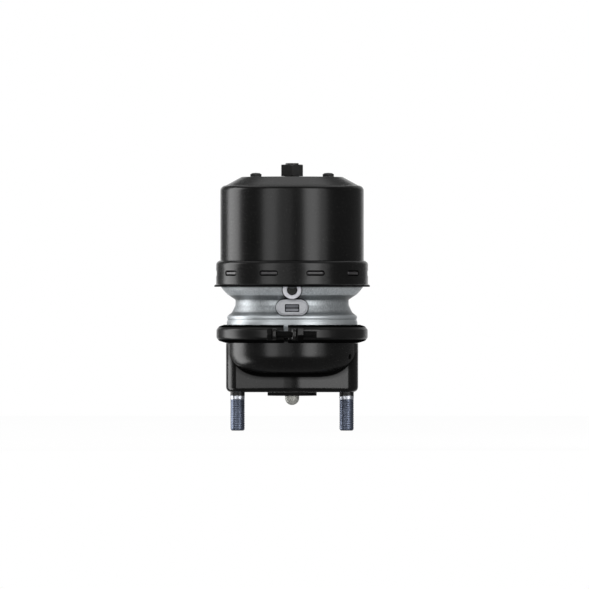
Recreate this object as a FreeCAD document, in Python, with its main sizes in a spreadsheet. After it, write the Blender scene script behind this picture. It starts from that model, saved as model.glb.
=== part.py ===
import FreeCAD, Part
import math
import os
import re
import Sketcher

# Air-operated brake cylinder for a disc brake: a diaphragm service chamber below, a spring
# parking-brake chamber above, and one push rod through the mounting face.
# Millimetres, +Z up from the mounting face, origin on the push-rod axis, -Y towards the viewer.

# Driving sizes
SIZES = {
    # strokes and clearances
    "stroke": 57.0,
    "release_travel": 56.0,
    "fit_gap": 0.05,
    "soft_gap": 0.3,
    # mounting foot and studs
    "foot_depth": 54.6,
    "foot_ridge": 44.2,
    "foot_ridge_round": 45.0,
    "foot_corner": 12.0,
    "foot_root": 4.5,
    "foot_edge": 5.6,
    "stud_spacing": 120.65,
    "stud_radius": 8.0,
    "stud_relief": 0.6,
    "stud_relief_depth": 1.0,
    "stud_reach": 42.7,
    "stud_engagement": 20.0,
    "stud_chamfer": 1.5,
    "stud_thread_depth": 0.6,
    "foot_margin": 25.45,
    # service chamber bowl
    "bowl_base": 20.5,
    "bowl_floor": 6.5,
    "bowl_corner": 16.5,
    "bowl_wall": 3.8,
    "drain_radius": 3.15,
    "drain_height": 39.4,
    "drain_turn": 61.8,
    # push rod, plate and boot
    "rod_radius": 7.75,
    "rod_stand_out": 14.4,
    "plate_thickness": 3.7,
    "plate_gap": 3.2,
    "plate_hub_drop": 2.6,
    "boot_chamber_radius": 23.5,
    "boot_chamber_depth": 18.0,
    "boot_wall": 1.4,
    "boot_folds": 3,
    "face_seal_radius": 27.2,
    "face_seal_height": 4.1,
    "face_seal_seat": 3.0,
    "guide_radius": 12.0,
    "return_wire": 4.2,
    "return_turns": 4.75,
    # clamped joint with diaphragm
    "rim_edge": 2.1,
    "rim_slope": 3.2,
    "diaphragm_wall": 3.0,
    "diaphragm_rim": 3.4,
    "diaphragm_dome": 32.9,
    "band_height": 20.0,
    "band_wall": 2.4,
    "band_gap": 4.8,
    "band_gap_place": 6.9,
    "lug_width": 5.6,
    "lug_height": 13.0,
    "lug_reach": 14.0,
    "lug_left": 19.8,
    "lug_right": 2.4,
    "clamp_bolt_radius": 4.0,
    "clamp_bolt_reach": 27.1,
    "small_hex": 13.0,
    "small_head": 5.1,
    "small_nut": 5.8,
    # intermediate flange
    "web_thickness": 9.5,
    "hub_radius": 26.0,
    "hub_rise": 2.5,
    "seat_rise": 14.0,
    "seat_lip_height": 3.0,
    "spigot_height": 5.5,
    "spigot_wall": 2.5,
    "round_boss_radius": 10.35,
    "round_boss_rise": 6.0,
    "plug_radius": 5.55,
    "oval_boss_length": 35.0,
    "oval_boss_height": 17.7,
    "oval_boss_drop": 3.9,
    "window_length": 15.9,
    "window_height": 8.7,
    "port_radius": 7.19,
    "port_depth": 12.0,
    "port_boss_radius": 13.0,
    "port_spacing": 36.0,
    # spring chamber pot and locking ring
    "pot_radius": 79.4,
    "pot_wall": 3.0,
    "pot_corner": 6.0,
    "pot_crown_height": 9.4,
    "ring_wall": 2.3,
    "ring_height": 29.7,
    "ring_fold": 1.5,
    "slot_count": 10,
    "slot_length": 21.4,
    "slot_height": 6.1,
    "slot_rise": 15.0,
    "key_height": 3.4,
    "key_length": 18.8,
    "cover_screw_head": 4.7,
    # spring piston, tube and springs
    "tube_radius": 17.0,
    "tube_wall": 4.0,
    "tube_headroom": 4.0,
    "piston_rim_height": 9.0,
    "piston_rim_wall": 9.0,
    "piston_floor": 4.0,
    "power_wire": 13.0,
    "power_turns": 3.2,
    # release bolt
    "release_radius": 8.0,
    "release_hex": 24.0,
    "release_nut": 12.9,
    "release_stub": 1.6,
    "catch_radius": 12.4,
    "catch_height": 4.0,
    "race_height": 2.5,
    "collar_height": 4.0,
    "bush_flange": 6.0,
    "bush_radius": 12.0,
    "bush_flange_radius": 19.0,
}

# Sizes that follow from these, as formulas in the same sheet. The spring pot's radius leads:
# the ring, the flange, the clamped rims and the bowl keep their steps from it.
FOLLOWING = {
    "foot_width": "stud_spacing + foot_margin",
    "face_seal_bore": "boot_chamber_radius - 2.5",
    "ring_radius": "pot_radius + 4.7",
    "ring_lip": "ring_radius + 2",
    "seat_lip": "ring_radius - ring_wall - soft_gap",
    "dish_radius": "pot_radius - 0.5",
    "pot_crown_foot": "pot_radius - 6.1",
    "pot_crown_radius": "pot_radius - 23.4",
    "cover_screw_place": "pot_crown_radius - 15.95",
    "power_radius": "pot_crown_radius - 8",
    "rim_radius": "pot_radius + 1.2",
    "rim_neck": "rim_radius - 5.7",
    "band_radius": "rim_radius + band_wall + 0.7",
    "band_shoulder": "band_radius - 3",
    "band_lip": "rim_radius - 6.9",
    "bowl_radius": "rim_radius - 7.7",
    "neck_radius": "rim_radius - 8.4",
    "bead_radius": "rim_radius - 8.7",
    "waist_radius": "rim_radius - 18",
    "plate_radius": "bowl_radius - 22.9",
    "return_radius": "plate_radius - 5",
    "return_top_radius": "plate_radius / 2",
}

# Heights that follow from them, up the push-rod axis
BOWL_FLOOR = "(bowl_base + bowl_floor)"
PLATE_BASE = f"({BOWL_FLOOR} + stroke + plate_gap)"
DOME_TOP = f"({PLATE_BASE} + plate_thickness + soft_gap + diaphragm_wall)"
TUBE_BASE = f"({DOME_TOP} + soft_gap)"
WEB_BASE = f"({TUBE_BASE} + 3)"
JOINT = f"({WEB_BASE} - diaphragm_dome)"
WEB_TOP = f"({WEB_BASE} + web_thickness)"
HUB_TOP = f"({WEB_TOP} + hub_rise)"
SEAT = f"({WEB_TOP} + seat_rise)"
RING_BASE = f"({SEAT} - seat_lip_height - ring_fold - 0.1)"
BAND_BASE = f"({JOINT} - band_height / 2)"
BAND_TOP = f"({JOINT} + band_height / 2)"
FOOT_TOP = f"({BAND_BASE} - 1.1)"
CATCH_BASE = f"({TUBE_BASE} + 4.5)"
RACE_TOP = f"({CATCH_BASE} + catch_height + race_height)"
COLLAR_BASE = f"({RACE_TOP} + stroke + release_travel + 0.5)"
TUBE_TOP = f"({COLLAR_BASE} + collar_height + 2)"
BUSH_BASE = f"({TUBE_TOP} + tube_headroom)"
POT_TOP = f"({BUSH_BASE} + bush_flange + pot_wall)"
CROWN_FOOT = f"({POT_TOP} - pot_crown_height)"
PISTON_RIM_BASE = f"({SEAT} + spigot_height + stroke + 0.5)"
PISTON_BASE = f"({HUB_TOP} + stroke + 4.5)"
SPRING_SEAT = f"({PISTON_BASE} + piston_floor)"

# Radii that follow from them
STUD_CORE = "(stud_radius - stud_thread_depth)"
BOWL_BORE = "(bowl_radius - bowl_wall)"
POT_BORE = "(pot_radius - pot_wall)"
TUBE_BORE = "(tube_radius - tube_wall)"
RING_BORE = "(ring_radius - ring_wall)"
RIM_FACE = "(diaphragm_rim / 2)"
BOLT_Y = "(band_radius + lug_reach - 6)"

doc = FreeCAD.newDocument("brake_cylinder")
sheet = doc.addObject("Spreadsheet::Sheet", "Sizes")
for row, (alias, size) in enumerate((SIZES | FOLLOWING).items(), 1):
    sheet.set(f"A{row}", f"={size}")
    sheet.setAlias(f"A{row}", alias)
    doc.recompute()
sub_parts = []


def bind(text):
    """The expression with each size's name pointed at its cell."""
    known = SIZES | FOLLOWING
    return re.sub(r"[a-z][a-z_]*", lambda m: f"Sizes.{m[0]}" if m[0] in known else m[0], str(text))


def number(text):
    """The expression's value now."""
    return float(sheet.evalExpression(bind(text)))


def new_body(label):
    """An empty body that becomes one sub-part."""
    body = doc.addObject("PartDesign::Body", label)
    body.Label = label
    sub_parts.append(body)
    return body


def origin(body, role):
    """The body's own origin plane or axis of that role."""
    return next(f for f in body.Origin.OriginFeatures if f.Role == role)


def sketch_on(body, plane="XZ_Plane", offset=None, turn=None):
    """A sketch on an origin plane, moved along its normal and turned about its upright."""
    sketch = body.newObject("Sketcher::SketchObject", body.Label + "_sketch")
    sketch.AttachmentSupport = [(origin(body, plane), "")]
    sketch.MapMode = "FlatFace"
    if offset is not None:
        sketch.setExpression("AttachmentOffset.Base.z", bind(offset))
    if turn is not None:
        angle = FreeCAD.Rotation(FreeCAD.Vector(0, 1, 0), number(turn))
        sketch.AttachmentOffset = FreeCAD.Placement(FreeCAD.Vector(), angle)
    return sketch


def constrain(sketch, kind, where, text):
    """One dimension of the sketch, bound to an expression."""
    index = sketch.addConstraint(Sketcher.Constraint(kind, *where, number(text)))
    sketch.setExpression(f"Constraints[{index}]", bind(text))


def corner_arc(before, at, after, radius):
    """The round at a corner: its arc, entry and exit points, and if it turns left."""
    come = (at - before).normalize()
    go = (after - at).normalize()
    side = come.x * go.y - come.y * go.x
    turn = math.acos(max(-1.0, min(1.0, come.dot(go))))
    reach = radius * math.tan(turn / 2)
    entry = at - come * reach
    leave = at + go * reach
    left = side > 0
    inward = FreeCAD.Vector(-come.y, come.x, 0) * (1 if left else -1)
    centre = entry + inward * radius
    start, end = (entry, leave) if left else (leave, entry)
    angles = [math.atan2(p.y - centre.y, p.x - centre.x) for p in (start, end)]
    if angles[1] < angles[0]:
        angles[1] += 2 * math.pi
    circle = Part.Circle(centre, FreeCAD.Vector(0, 0, 1), radius)
    return Part.ArcOfCircle(circle, *angles), entry, leave, left


def outline(sketch, corners):
    """A closed outline through corners (across, up) or (across, up, round)."""
    points = [FreeCAD.Vector(number(c[0]), number(c[1]), 0) for c in corners]
    count = len(points)
    rounds = {}
    for i, corner in enumerate(corners):
        if len(corner) > 2:
            rounds[i] = corner_arc(points[i - 1], points[i], points[(i + 1) % count], number(corner[2]))
    lines = []
    for i in range(count):
        start = rounds[i][2] if i in rounds else points[i]
        after = (i + 1) % count
        end = rounds[after][1] if after in rounds else points[after]
        lines.append(sketch.addGeometry(Part.LineSegment(start, end), False))
    for i in range(count):
        before = lines[i - 1]
        here = lines[i]
        if i not in rounds:
            sketch.addConstraint(Sketcher.Constraint("Coincident", before, 2, here, 1))
            constrain(sketch, "DistanceX", (-1, 1, here, 1), corners[i][0])
            constrain(sketch, "DistanceY", (-1, 1, here, 1), corners[i][1])
            continue
        arc, _, _, left = rounds[i]
        bend = sketch.addGeometry(arc, False)
        tip = sketch.addGeometry(Part.Point(points[i]), True)
        first, second = (1, 2) if left else (2, 1)
        constrain(sketch, "DistanceX", (-1, 1, tip, 1), corners[i][0])
        constrain(sketch, "DistanceY", (-1, 1, tip, 1), corners[i][1])
        sketch.addConstraint(Sketcher.Constraint("PointOnObject", tip, 1, before))
        sketch.addConstraint(Sketcher.Constraint("PointOnObject", tip, 1, here))
        sketch.addConstraint(Sketcher.Constraint("Tangent", before, 2, bend, first))
        sketch.addConstraint(Sketcher.Constraint("Tangent", here, 1, bend, second))
        constrain(sketch, "Radius", (bend,), corners[i][2])


def circle(sketch, across, up, radius):
    """A circle at (across, up)."""
    centre = FreeCAD.Vector(number(across), number(up), 0)
    shape = Part.Circle(centre, FreeCAD.Vector(0, 0, 1), number(radius))
    index = sketch.addGeometry(shape, False)
    constrain(sketch, "DistanceX", (-1, 1, index, 3), across)
    constrain(sketch, "DistanceY", (-1, 1, index, 3), up)
    constrain(sketch, "Radius", (index,), radius)


def rectangle(low_across, low_up, high_across, high_up, radius=None):
    """The corners of a rectangle, rounded if a radius is given."""
    corners = [
        (low_across, low_up),
        (high_across, low_up),
        (high_across, high_up),
        (low_across, high_up),
    ]
    return [c + (radius,) for c in corners] if radius else corners


def stadium(across, up, length, height):
    """The corners of a slot shape, with fully rounded ends."""
    half = f"({length}) / 2"
    rise = f"({height}) / 2"
    return rectangle(
        f"{across} - {half}", f"{up} - {rise}", f"{across} + {half}", f"{up} + {rise}",
        f"({height}) * 0.49",
    )


def hexagon(size, flats_across=True):
    """The corners of a hexagon of that width over flats, with flats facing across or up."""
    corner = f"({size}) / sqrt(3)"
    points = [
        ("0", f"-{corner}"),
        (f"({size}) / 2", f"-{corner} / 2"),
        (f"({size}) / 2", f"{corner} / 2"),
        ("0", corner),
        (f"-({size}) / 2", f"{corner} / 2"),
        (f"-({size}) / 2", f"-{corner} / 2"),
    ]
    return points if flats_across else [(b, f"-({a})") for a, b in points]


def shifted(corners, across, up):
    """Corners moved by (across, up)."""
    return [(f"{c[0]} + {across}", f"{c[1]} + {up}") + tuple(c[2:]) for c in corners]


def finish(body, feature, removes=False):
    """Sets the body's tip, recomputes and stops if the feature failed or cut nothing."""
    before = number_of_volume(body)
    body.Tip = feature
    doc.recompute()
    if "Invalid" in feature.State or "Error" in feature.State or body.Shape.isNull():
        raise RuntimeError(f"{body.Label}: {feature.Label} failed")
    if removes and body.Shape.Volume >= before - 1e-3:
        raise RuntimeError(f"{body.Label}: {feature.Label} cuts nothing")
    return feature


def number_of_volume(body):
    """The body's volume, 0 while it is empty."""
    return 0.0 if body.Shape.isNull() else body.Shape.Volume


def turned(body, corners, cut=False):
    """A profile (radius, height) revolved about Z, added or cut."""
    sketch = sketch_on(body)
    outline(sketch, corners)
    kind = "PartDesign::Groove" if cut else "PartDesign::Revolution"
    feature = body.newObject(kind, body.Label + ("_groove" if cut else "_turned"))
    feature.Profile = sketch
    feature.ReferenceAxis = (sketch, ["V_Axis"])
    feature.Angle = 360
    return finish(body, feature, cut)


def ring(label, inner, outer, low, high):
    """A ring of rectangular section."""
    body = new_body(label)
    turned(body, rectangle(inner, low, outer, high))


def pad(body, sketch, length):
    """The sketch raised along its normal."""
    feature = body.newObject("PartDesign::Pad", body.Label + "_pad")
    feature.Profile = sketch
    feature.setExpression("Length", bind(length))
    return finish(body, feature)


def pocket(body, sketch, length, forward=False):
    """The sketch cut into the body, against its normal or forward along it."""
    feature = body.newObject("PartDesign::Pocket", body.Label + "_pocket")
    feature.Profile = sketch
    feature.Reversed = forward
    feature.setExpression("Length", bind(length))
    return finish(body, feature, True)


def polar(body, feature, count):
    """Copies of a feature round the Z axis."""
    pattern = body.newObject("PartDesign::PolarPattern", body.Label + "_pattern")
    pattern.Originals = [feature]
    pattern.Axis = (origin(body, "Z_Axis"), [""])
    pattern.Angle = 360
    pattern.setExpression("Occurrences", bind(count))
    return finish(body, pattern)


def rounded(body, base, radius, wanted):
    """A fillet on the edges that a test picks."""
    names = [f"Edge{i}" for i, edge in enumerate(base.Shape.Edges, 1) if wanted(edge)]
    feature = body.newObject("PartDesign::Fillet", body.Label + "_fillet")
    feature.Base = (base, names)
    feature.setExpression("Radius", bind(radius))
    return finish(body, feature)


def hex_chamfer(body, size, face, up=True):
    """Bevels the corners of a hexagon at its end face, 30 degrees from the face."""
    inner = f"({size}) * 0.49"
    outer = f"({size}) * 0.6"
    drop = f"{face} {'-' if up else '+'} ({size}) * 0.11 * tan(30)"
    turned(body, [(inner, face), (outer, drop), (outer, face)], cut=True)


def helix(label, radius, base, wire, height, turns, cone="0"):
    """A coil of round wire wound about Z, narrowing by the cone angle."""
    body = new_body(label)
    sketch = sketch_on(body)
    circle(sketch, radius, base, f"({wire}) / 2")
    coil = body.newObject("PartDesign::AdditiveHelix", label + "_coil")
    coil.Profile = sketch
    coil.ReferenceAxis = (sketch, ["V_Axis"])
    coil.Mode = 1
    coil.setExpression("Pitch", bind(f"({height}) / ({turns})"))
    coil.setExpression("Height", bind(height))
    coil.setExpression("Turns", bind(turns))
    coil.setExpression("Angle", bind(cone))
    finish(body, coil)
    return body


# Service housing: cast bowl on a rectangular foot that is machined flat for the caliper
housing = new_body("service_housing")
foot = sketch_on(housing, "XY_Plane")
outline(foot, [
    ("-foot_width / 2", "-foot_depth / 2", "foot_corner"),
    ("0", "-foot_ridge", "foot_ridge_round"),
    ("foot_width / 2", "-foot_depth / 2", "foot_corner"),
    ("foot_width / 2", "foot_depth / 2", "foot_corner"),
    ("0", "foot_ridge", "foot_ridge_round"),
    ("-foot_width / 2", "foot_depth / 2", "foot_corner"),
])
foot_pad = pad(housing, foot, FOOT_TOP)
rounded(housing, foot_pad, "foot_edge", lambda e: e.BoundBox.ZMax < 1e-6)
bowl = turned(housing, [
    ("0", "bowl_base"),
    ("bowl_radius", "bowl_base", "bowl_corner + bowl_floor"),
    ("bowl_radius", f"{JOINT} - {RIM_FACE} - rim_edge - rim_slope - 1", "1"),
    ("rim_neck", f"{JOINT} - {RIM_FACE} - rim_edge - rim_slope"),
    ("rim_radius", f"{JOINT} - {RIM_FACE} - rim_edge"),
    ("rim_radius", f"{JOINT} - {RIM_FACE}"),
    ("0", f"{JOINT} - {RIM_FACE}"),
])
# the bowl runs into the foot with a small root all round, found by its curved edges and uprights
foot_top = number(FOOT_TOP)


def at_root(edge):
    """True for an edge where the bowl's surface meets the foot's front, back or corners."""
    box = edge.BoundBox
    above_floor = box.ZMax - number("bowl_base")
    if abs(above_floor) < 1e-6:
        return box.XLength < number("foot_ridge")
    if box.XLength < 1e-6:
        inside = abs(box.XMin) < number("foot_width / 2") - 1
        return inside and box.ZLength > 5 and abs(box.ZMax - foot_top) < 1e-6
    curved = edge.Curve.TypeId in ("Part::GeomHyperbola", "Part::GeomBSplineCurve")
    return curved and 0 < above_floor and box.ZMax < foot_top + 1e-6


rounded(housing, bowl, "foot_root", at_root)
turned(housing, [
    ("0", BOWL_FLOOR),
    (BOWL_BORE, BOWL_FLOOR, "bowl_corner"),
    (BOWL_BORE, JOINT),
    ("0", JOINT),
], cut=True)
turned(housing, [
    ("0", "-1"),
    ("face_seal_radius", "-1"),
    ("face_seal_radius", "face_seal_seat"),
    ("boot_chamber_radius", "face_seal_seat"),
    ("boot_chamber_radius", "boot_chamber_depth"),
    ("guide_radius", "boot_chamber_depth"),
    ("guide_radius", f"{BOWL_FLOOR} + 1"),
    ("0", f"{BOWL_FLOOR} + 1"),
], cut=True)
studs_in = sketch_on(housing, "XY_Plane")
circle(studs_in, "stud_spacing / 2", "0", STUD_CORE)
circle(studs_in, "-stud_spacing / 2", "0", STUD_CORE)
pocket(housing, studs_in, "stud_engagement", forward=True)
stud_reliefs = sketch_on(housing, "XY_Plane")
circle(stud_reliefs, "stud_spacing / 2", "0", "stud_radius + stud_relief")
circle(stud_reliefs, "-stud_spacing / 2", "0", "stud_radius + stud_relief")
pocket(housing, stud_reliefs, "stud_relief_depth", forward=True)
drain = sketch_on(housing, turn="drain_turn")
circle(drain, "0", "drain_height", "drain_radius")
drain_hole = pocket(housing, drain, "bowl_radius + 5", forward=True)
polar(housing, drain_hole, "2")

# Two mounting studs, screwed into the foot
studs = new_body("mounting_studs")
stud_ends = sketch_on(studs, "XY_Plane", offset="-stud_reach")
circle(stud_ends, "stud_spacing / 2", "0", "stud_radius")
circle(stud_ends, "-stud_spacing / 2", "0", "stud_radius")
stud_pad = pad(studs, stud_ends, "stud_reach")
stud_bevel = studs.newObject("PartDesign::Chamfer", "stud_bevel")
stud_bevel.Base = (stud_pad, [
    f"Edge{i}" for i, e in enumerate(stud_pad.Shape.Edges, 1)
    if e.BoundBox.ZMax < -number("stud_reach") + 1e-6
])
stud_bevel.setExpression("Size", "Sizes.stud_chamfer")
finish(studs, stud_bevel)
stud_roots = sketch_on(studs, "XY_Plane")
circle(stud_roots, "stud_spacing / 2", "0", STUD_CORE)
circle(stud_roots, "-stud_spacing / 2", "0", STUD_CORE)
pad(studs, stud_roots, "stud_engagement")

# Push rod with a ball end, its pressed plate and the guide bush in the bowl's floor
rod = new_body("push_rod")
turned(rod, [
    ("0", "-rod_stand_out"),
    ("rod_radius", "-rod_stand_out", "rod_radius * 0.98"),
    ("rod_radius", PLATE_BASE),
    ("0", PLATE_BASE),
])
plate = new_body("push_plate")
turned(plate, [
    ("0", PLATE_BASE),
    ("plate_radius + 1", PLATE_BASE, "0.8"),
    ("plate_radius - 1", f"{PLATE_BASE} + plate_thickness", "2.4"),
    ("0", f"{PLATE_BASE} + plate_thickness"),
])
hub = new_body("plate_hub")
turned(hub, [
    ("rod_radius", f"{PLATE_BASE} - plate_hub_drop"),
    ("rod_radius + 7", f"{PLATE_BASE} - plate_hub_drop"),
    ("return_top_radius - 5", f"{PLATE_BASE} - plate_hub_drop / 2"),
    ("return_top_radius - 5", PLATE_BASE),
    ("rod_radius", PLATE_BASE),
])
guide = new_body("rod_guide")
turned(guide, [
    ("rod_radius + fit_gap", "boot_chamber_depth - 1"),
    ("guide_radius", "boot_chamber_depth - 1"),
    ("guide_radius", BOWL_FLOOR),
    ("rod_radius + fit_gap", BOWL_FLOOR),
])

# Boot: folded rubber sleeve between the foot's chamber and the rod, with its clip
fold_height = "(boot_chamber_depth - 3)"
fold_count = int(SIZES["boot_folds"])
boot_out = []
boot_in = []
for fold in range(fold_count):
    low = f"(-1 + {fold_height} * {fold} / boot_folds)"
    middle = f"(-1 + {fold_height} * ({fold} + 0.5) / boot_folds)"
    boot_out += [("rod_radius + 4 + boot_wall", low), ("face_seal_bore - 1.5", middle)]
    boot_in += [("rod_radius + 4", low), ("face_seal_bore - 1.5 - boot_wall", middle)]
boot_top = f"(-1 + {fold_height})"
boot = new_body("dust_boot")
turned(boot, [
    ("rod_radius + 0.1", "-3.4"),
    ("rod_radius + 4 + boot_wall", "-3.4", "1"),
    *boot_out,
    ("boot_chamber_radius - 0.2", f"{boot_top} - 1"),
    ("boot_chamber_radius - 0.2", f"{boot_top} + 2.8"),
    ("boot_chamber_radius - 3.5", f"{boot_top} + 2.8"),
    ("boot_chamber_radius - 3.5", f"{boot_top} + boot_wall"),
    *reversed(boot_in),
    ("rod_radius + 0.1", "-0.8"),
])
face_seal = new_body("face_seal")
turned(face_seal, [
    ("face_seal_bore", "-face_seal_height"),
    ("face_seal_radius", "-face_seal_height", "0.6"),
    ("face_seal_radius", "face_seal_seat"),
    ("face_seal_bore", "face_seal_seat"),
])

# Return spring: conical coil from the bowl's floor up to the push plate
spring_foot = f"({BOWL_FLOOR} + return_wire / 2 + 1.9)"
spring_rise = f"({PLATE_BASE} - return_wire / 2 - 0.1 - {spring_foot})"
helix(
    "return_spring", "return_radius", spring_foot, "return_wire", spring_rise, "return_turns",
    cone=f"-atan((return_radius - return_top_radius) / {spring_rise})",
)

# Diaphragm: rubber hat, clamped by its rim and lying over the push plate
diaphragm = new_body("diaphragm")
turned(diaphragm, [
    ("0", f"{DOME_TOP} - diaphragm_wall"),
    ("plate_radius + 1", f"{DOME_TOP} - diaphragm_wall", "2"),
    ("neck_radius - 10", f"{JOINT} + 14", "4"),
    ("neck_radius - 8.5", f"{JOINT} - {RIM_FACE}"),
    ("rim_radius - 1", f"{JOINT} - {RIM_FACE}"),
    ("rim_radius - 1", f"{JOINT} + {RIM_FACE}"),
    ("neck_radius - 5.5", f"{JOINT} + {RIM_FACE}"),
    ("neck_radius - 7", f"{JOINT} + 14", "5"),
    ("plate_radius + 2", DOME_TOP, "5"),
    ("0", DOME_TOP),
])

# Clamp band: rolled V-section hoop with a split, two lugs and one bolt
band = new_body("clamp_band")
turned(band, [
    ("band_lip", f"{BAND_BASE} - 0.2"),
    ("band_shoulder", f"{BAND_BASE} + 1.9", "4"),
    ("band_radius", f"{BAND_BASE} + 5.4", "3"),
    ("band_radius", f"{BAND_TOP} - 5.6", "3"),
    ("band_shoulder", f"{BAND_TOP} - 1.9", "4"),
    ("band_lip + 0.8", f"{BAND_TOP} + 0.1", "0.6"),
    ("band_lip + 1.2", f"{BAND_TOP} - band_wall"),
    ("rim_radius + soft_gap", f"{JOINT} + {RIM_FACE} + rim_edge + soft_gap"),
    ("band_radius - band_wall", f"{JOINT} + {RIM_FACE}"),
    ("band_radius - band_wall", f"{JOINT} - {RIM_FACE}"),
    ("rim_radius + soft_gap", f"{JOINT} - {RIM_FACE} - rim_edge - soft_gap"),
    ("band_lip + 1.2", f"{BAND_BASE} + band_wall"),
])
split = sketch_on(band)
outline(split, rectangle(
    "-band_gap_place - band_gap / 2", f"{BAND_BASE} - 5",
    "-band_gap_place + band_gap / 2", f"{BAND_TOP} + 5",
))
pocket(band, split, "band_radius + 5", forward=True)

lugs = new_body("clamp_lugs")
lug_face = sketch_on(lugs, offset="band_radius - 8")
for place in ("-lug_left", "lug_right"):
    outline(lug_face, rectangle(
        f"{place} - lug_width / 2", f"{JOINT} - lug_height / 2 - 0.6",
        f"{place} + lug_width / 2", f"{JOINT} + lug_height / 2 - 0.6",
    ))
lug_pad = pad(lugs, lug_face, "lug_reach + 8")
lug_round = rounded(
    lugs, lug_pad, "lug_height * 0.4",
    lambda e: e.BoundBox.YMax < -number("band_radius + lug_reach") + 1e-6
    and e.BoundBox.XLength > 1 and e.BoundBox.ZLength < 1e-6,
)
turned(lugs, rectangle("0", f"{BAND_BASE} - 5", "band_radius", f"{BAND_TOP} + 5"), cut=True)
lug_bore = sketch_on(lugs, "YZ_Plane", offset="-lug_left - lug_width")
circle(lug_bore, f"-{BOLT_Y}", f"{JOINT} - 0.6", "clamp_bolt_radius + fit_gap")
pocket(lugs, lug_bore, "lug_left + lug_right + 2 * lug_width", forward=True)

bolt_place = (f"-{BOLT_Y}", f"{JOINT} - 0.6")
clamp_bolt = new_body("clamp_bolt")
head = sketch_on(clamp_bolt, "YZ_Plane", offset="-lug_left - lug_width / 2 - small_head")
outline(head, shifted(hexagon("small_hex", flats_across=False), *bolt_place))
pad(clamp_bolt, head, "small_head")
shank = sketch_on(clamp_bolt, "YZ_Plane", offset="-lug_left - lug_width / 2 - 1")
circle(shank, *bolt_place, "clamp_bolt_radius")
pad(clamp_bolt, shank, "clamp_bolt_reach + lug_left + lug_width / 2 + 1")
clamp_nut = new_body("clamp_nut")
nut_face = sketch_on(clamp_nut, "YZ_Plane", offset="lug_right + lug_width / 2 + 1.3")
outline(nut_face, shifted(hexagon("small_hex", flats_across=False), *bolt_place))
circle(nut_face, *bolt_place, "clamp_bolt_radius")
pad(clamp_nut, nut_face, "small_nut")
washer = new_body("clamp_washer")
washer_face = sketch_on(washer, "YZ_Plane", offset="lug_right + lug_width / 2")
circle(washer_face, *bolt_place, "small_hex * 0.55")
circle(washer_face, *bolt_place, "clamp_bolt_radius + fit_gap")
pad(washer, washer_face, "1.3")

# Intermediate flange: cast body between the two chambers, with bosses, seal lands and ports
flange = new_body("intermediate_flange")
round_boss_up = f"({WEB_TOP} + round_boss_rise)"
oval_boss_up = f"({WEB_BASE} - oval_boss_drop)"
round_face = "(dish_radius - 0.3)"
oval_face = "(bead_radius - 0.3)"
boss = sketch_on(flange, offset="waist_radius - 12")
circle(boss, "0", round_boss_up, "round_boss_radius")
pad(flange, boss, f"{round_face} - waist_radius + 12")
oval = sketch_on(flange, offset="waist_radius - 12")
outline(oval, stadium("0", oval_boss_up, "oval_boss_length", "oval_boss_height"))
pad(flange, oval, f"{oval_face} - waist_radius + 10.6")
oval_top = sketch_on(flange, offset=f"{oval_face} - 2")
outline(oval_top, stadium("0", oval_boss_up, "oval_boss_length - 3.4", "oval_boss_height - 2.8"))
pad(flange, oval_top, "2")
# air ports stand on the rear side, one for each chamber: their side, height and reach
PORTS = (("-", f"{WEB_BASE} - 4", "bead_radius"), ("+", f"{WEB_TOP} + 2", "dish_radius"))
for side, up, reach in PORTS:
    port_boss = sketch_on(flange, offset="-waist_radius + 14")
    circle(port_boss, f"{side}port_spacing / 2", up, "port_boss_radius")
    boss_pad = flange.newObject("PartDesign::Pad", "port_boss")
    boss_pad.Profile = port_boss
    boss_pad.Reversed = True
    boss_pad.setExpression("Length", bind(f"{reach} - 0.3 - waist_radius + 14"))
    finish(flange, boss_pad)
turned(flange, [
    ("0", f"{SEAT} - seat_lip_height"),
    ("dish_radius", f"{SEAT} - seat_lip_height"),
    ("dish_radius", f"{RING_BASE} - 0.5"),
    ("ring_lip + 5", f"{RING_BASE} - 0.5"),
    ("ring_lip + 5", f"{SEAT} + 20"),
    ("0", f"{SEAT} + 20"),
], cut=True)
turned(flange, [
    ("0", f"{JOINT} + {RIM_FACE}"),
    ("rim_radius", f"{JOINT} + {RIM_FACE}"),
    ("rim_radius", f"{JOINT} + {RIM_FACE} + rim_edge"),
    ("rim_neck", f"{JOINT} + {RIM_FACE} + rim_edge + rim_slope"),
    ("neck_radius", f"{JOINT} + {RIM_FACE} + rim_edge + rim_slope + 1", "1.5"),
    ("neck_radius", f"{BAND_TOP} + 1.6", "2"),
    ("bead_radius - 0.8", f"{BAND_TOP} + 4.4", "3"),
    ("bead_radius + 0.3", f"{BAND_TOP} + 7.8", "2"),
    ("bead_radius - 0.8", f"{BAND_TOP} + 10", "1.5"),
    ("waist_radius + 4.6", f"{WEB_BASE} - 9.6", "1.2"),
    ("waist_radius", f"{WEB_BASE} - 1.2", "6"),
    ("waist_radius", f"{WEB_BASE} + 4.6", "3"),
    ("dish_radius - 7.4", f"{WEB_TOP} + 1.2", "4"),
    ("dish_radius - 3", f"{WEB_TOP} + 5.6", "5"),
    ("dish_radius", f"{RING_BASE} + 0.2", "1"),
    ("dish_radius", f"{SEAT} - seat_lip_height"),
    ("seat_lip", f"{SEAT} - seat_lip_height"),
    ("seat_lip", SEAT),
    (f"{POT_BORE} - soft_gap", SEAT),
    (f"{POT_BORE} - soft_gap", f"{SEAT} + spigot_height"),
    ("0", f"{SEAT} + spigot_height"),
])
# the service side is a domed hollow for the diaphragm
turned(flange, [
    ("0", JOINT),
    ("neck_radius - 4.7", JOINT),
    ("neck_radius - 6", f"{JOINT} + 15", "6"),
    ("waist_radius - 5", WEB_BASE, "5"),
    ("0", WEB_BASE),
], cut=True)
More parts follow.
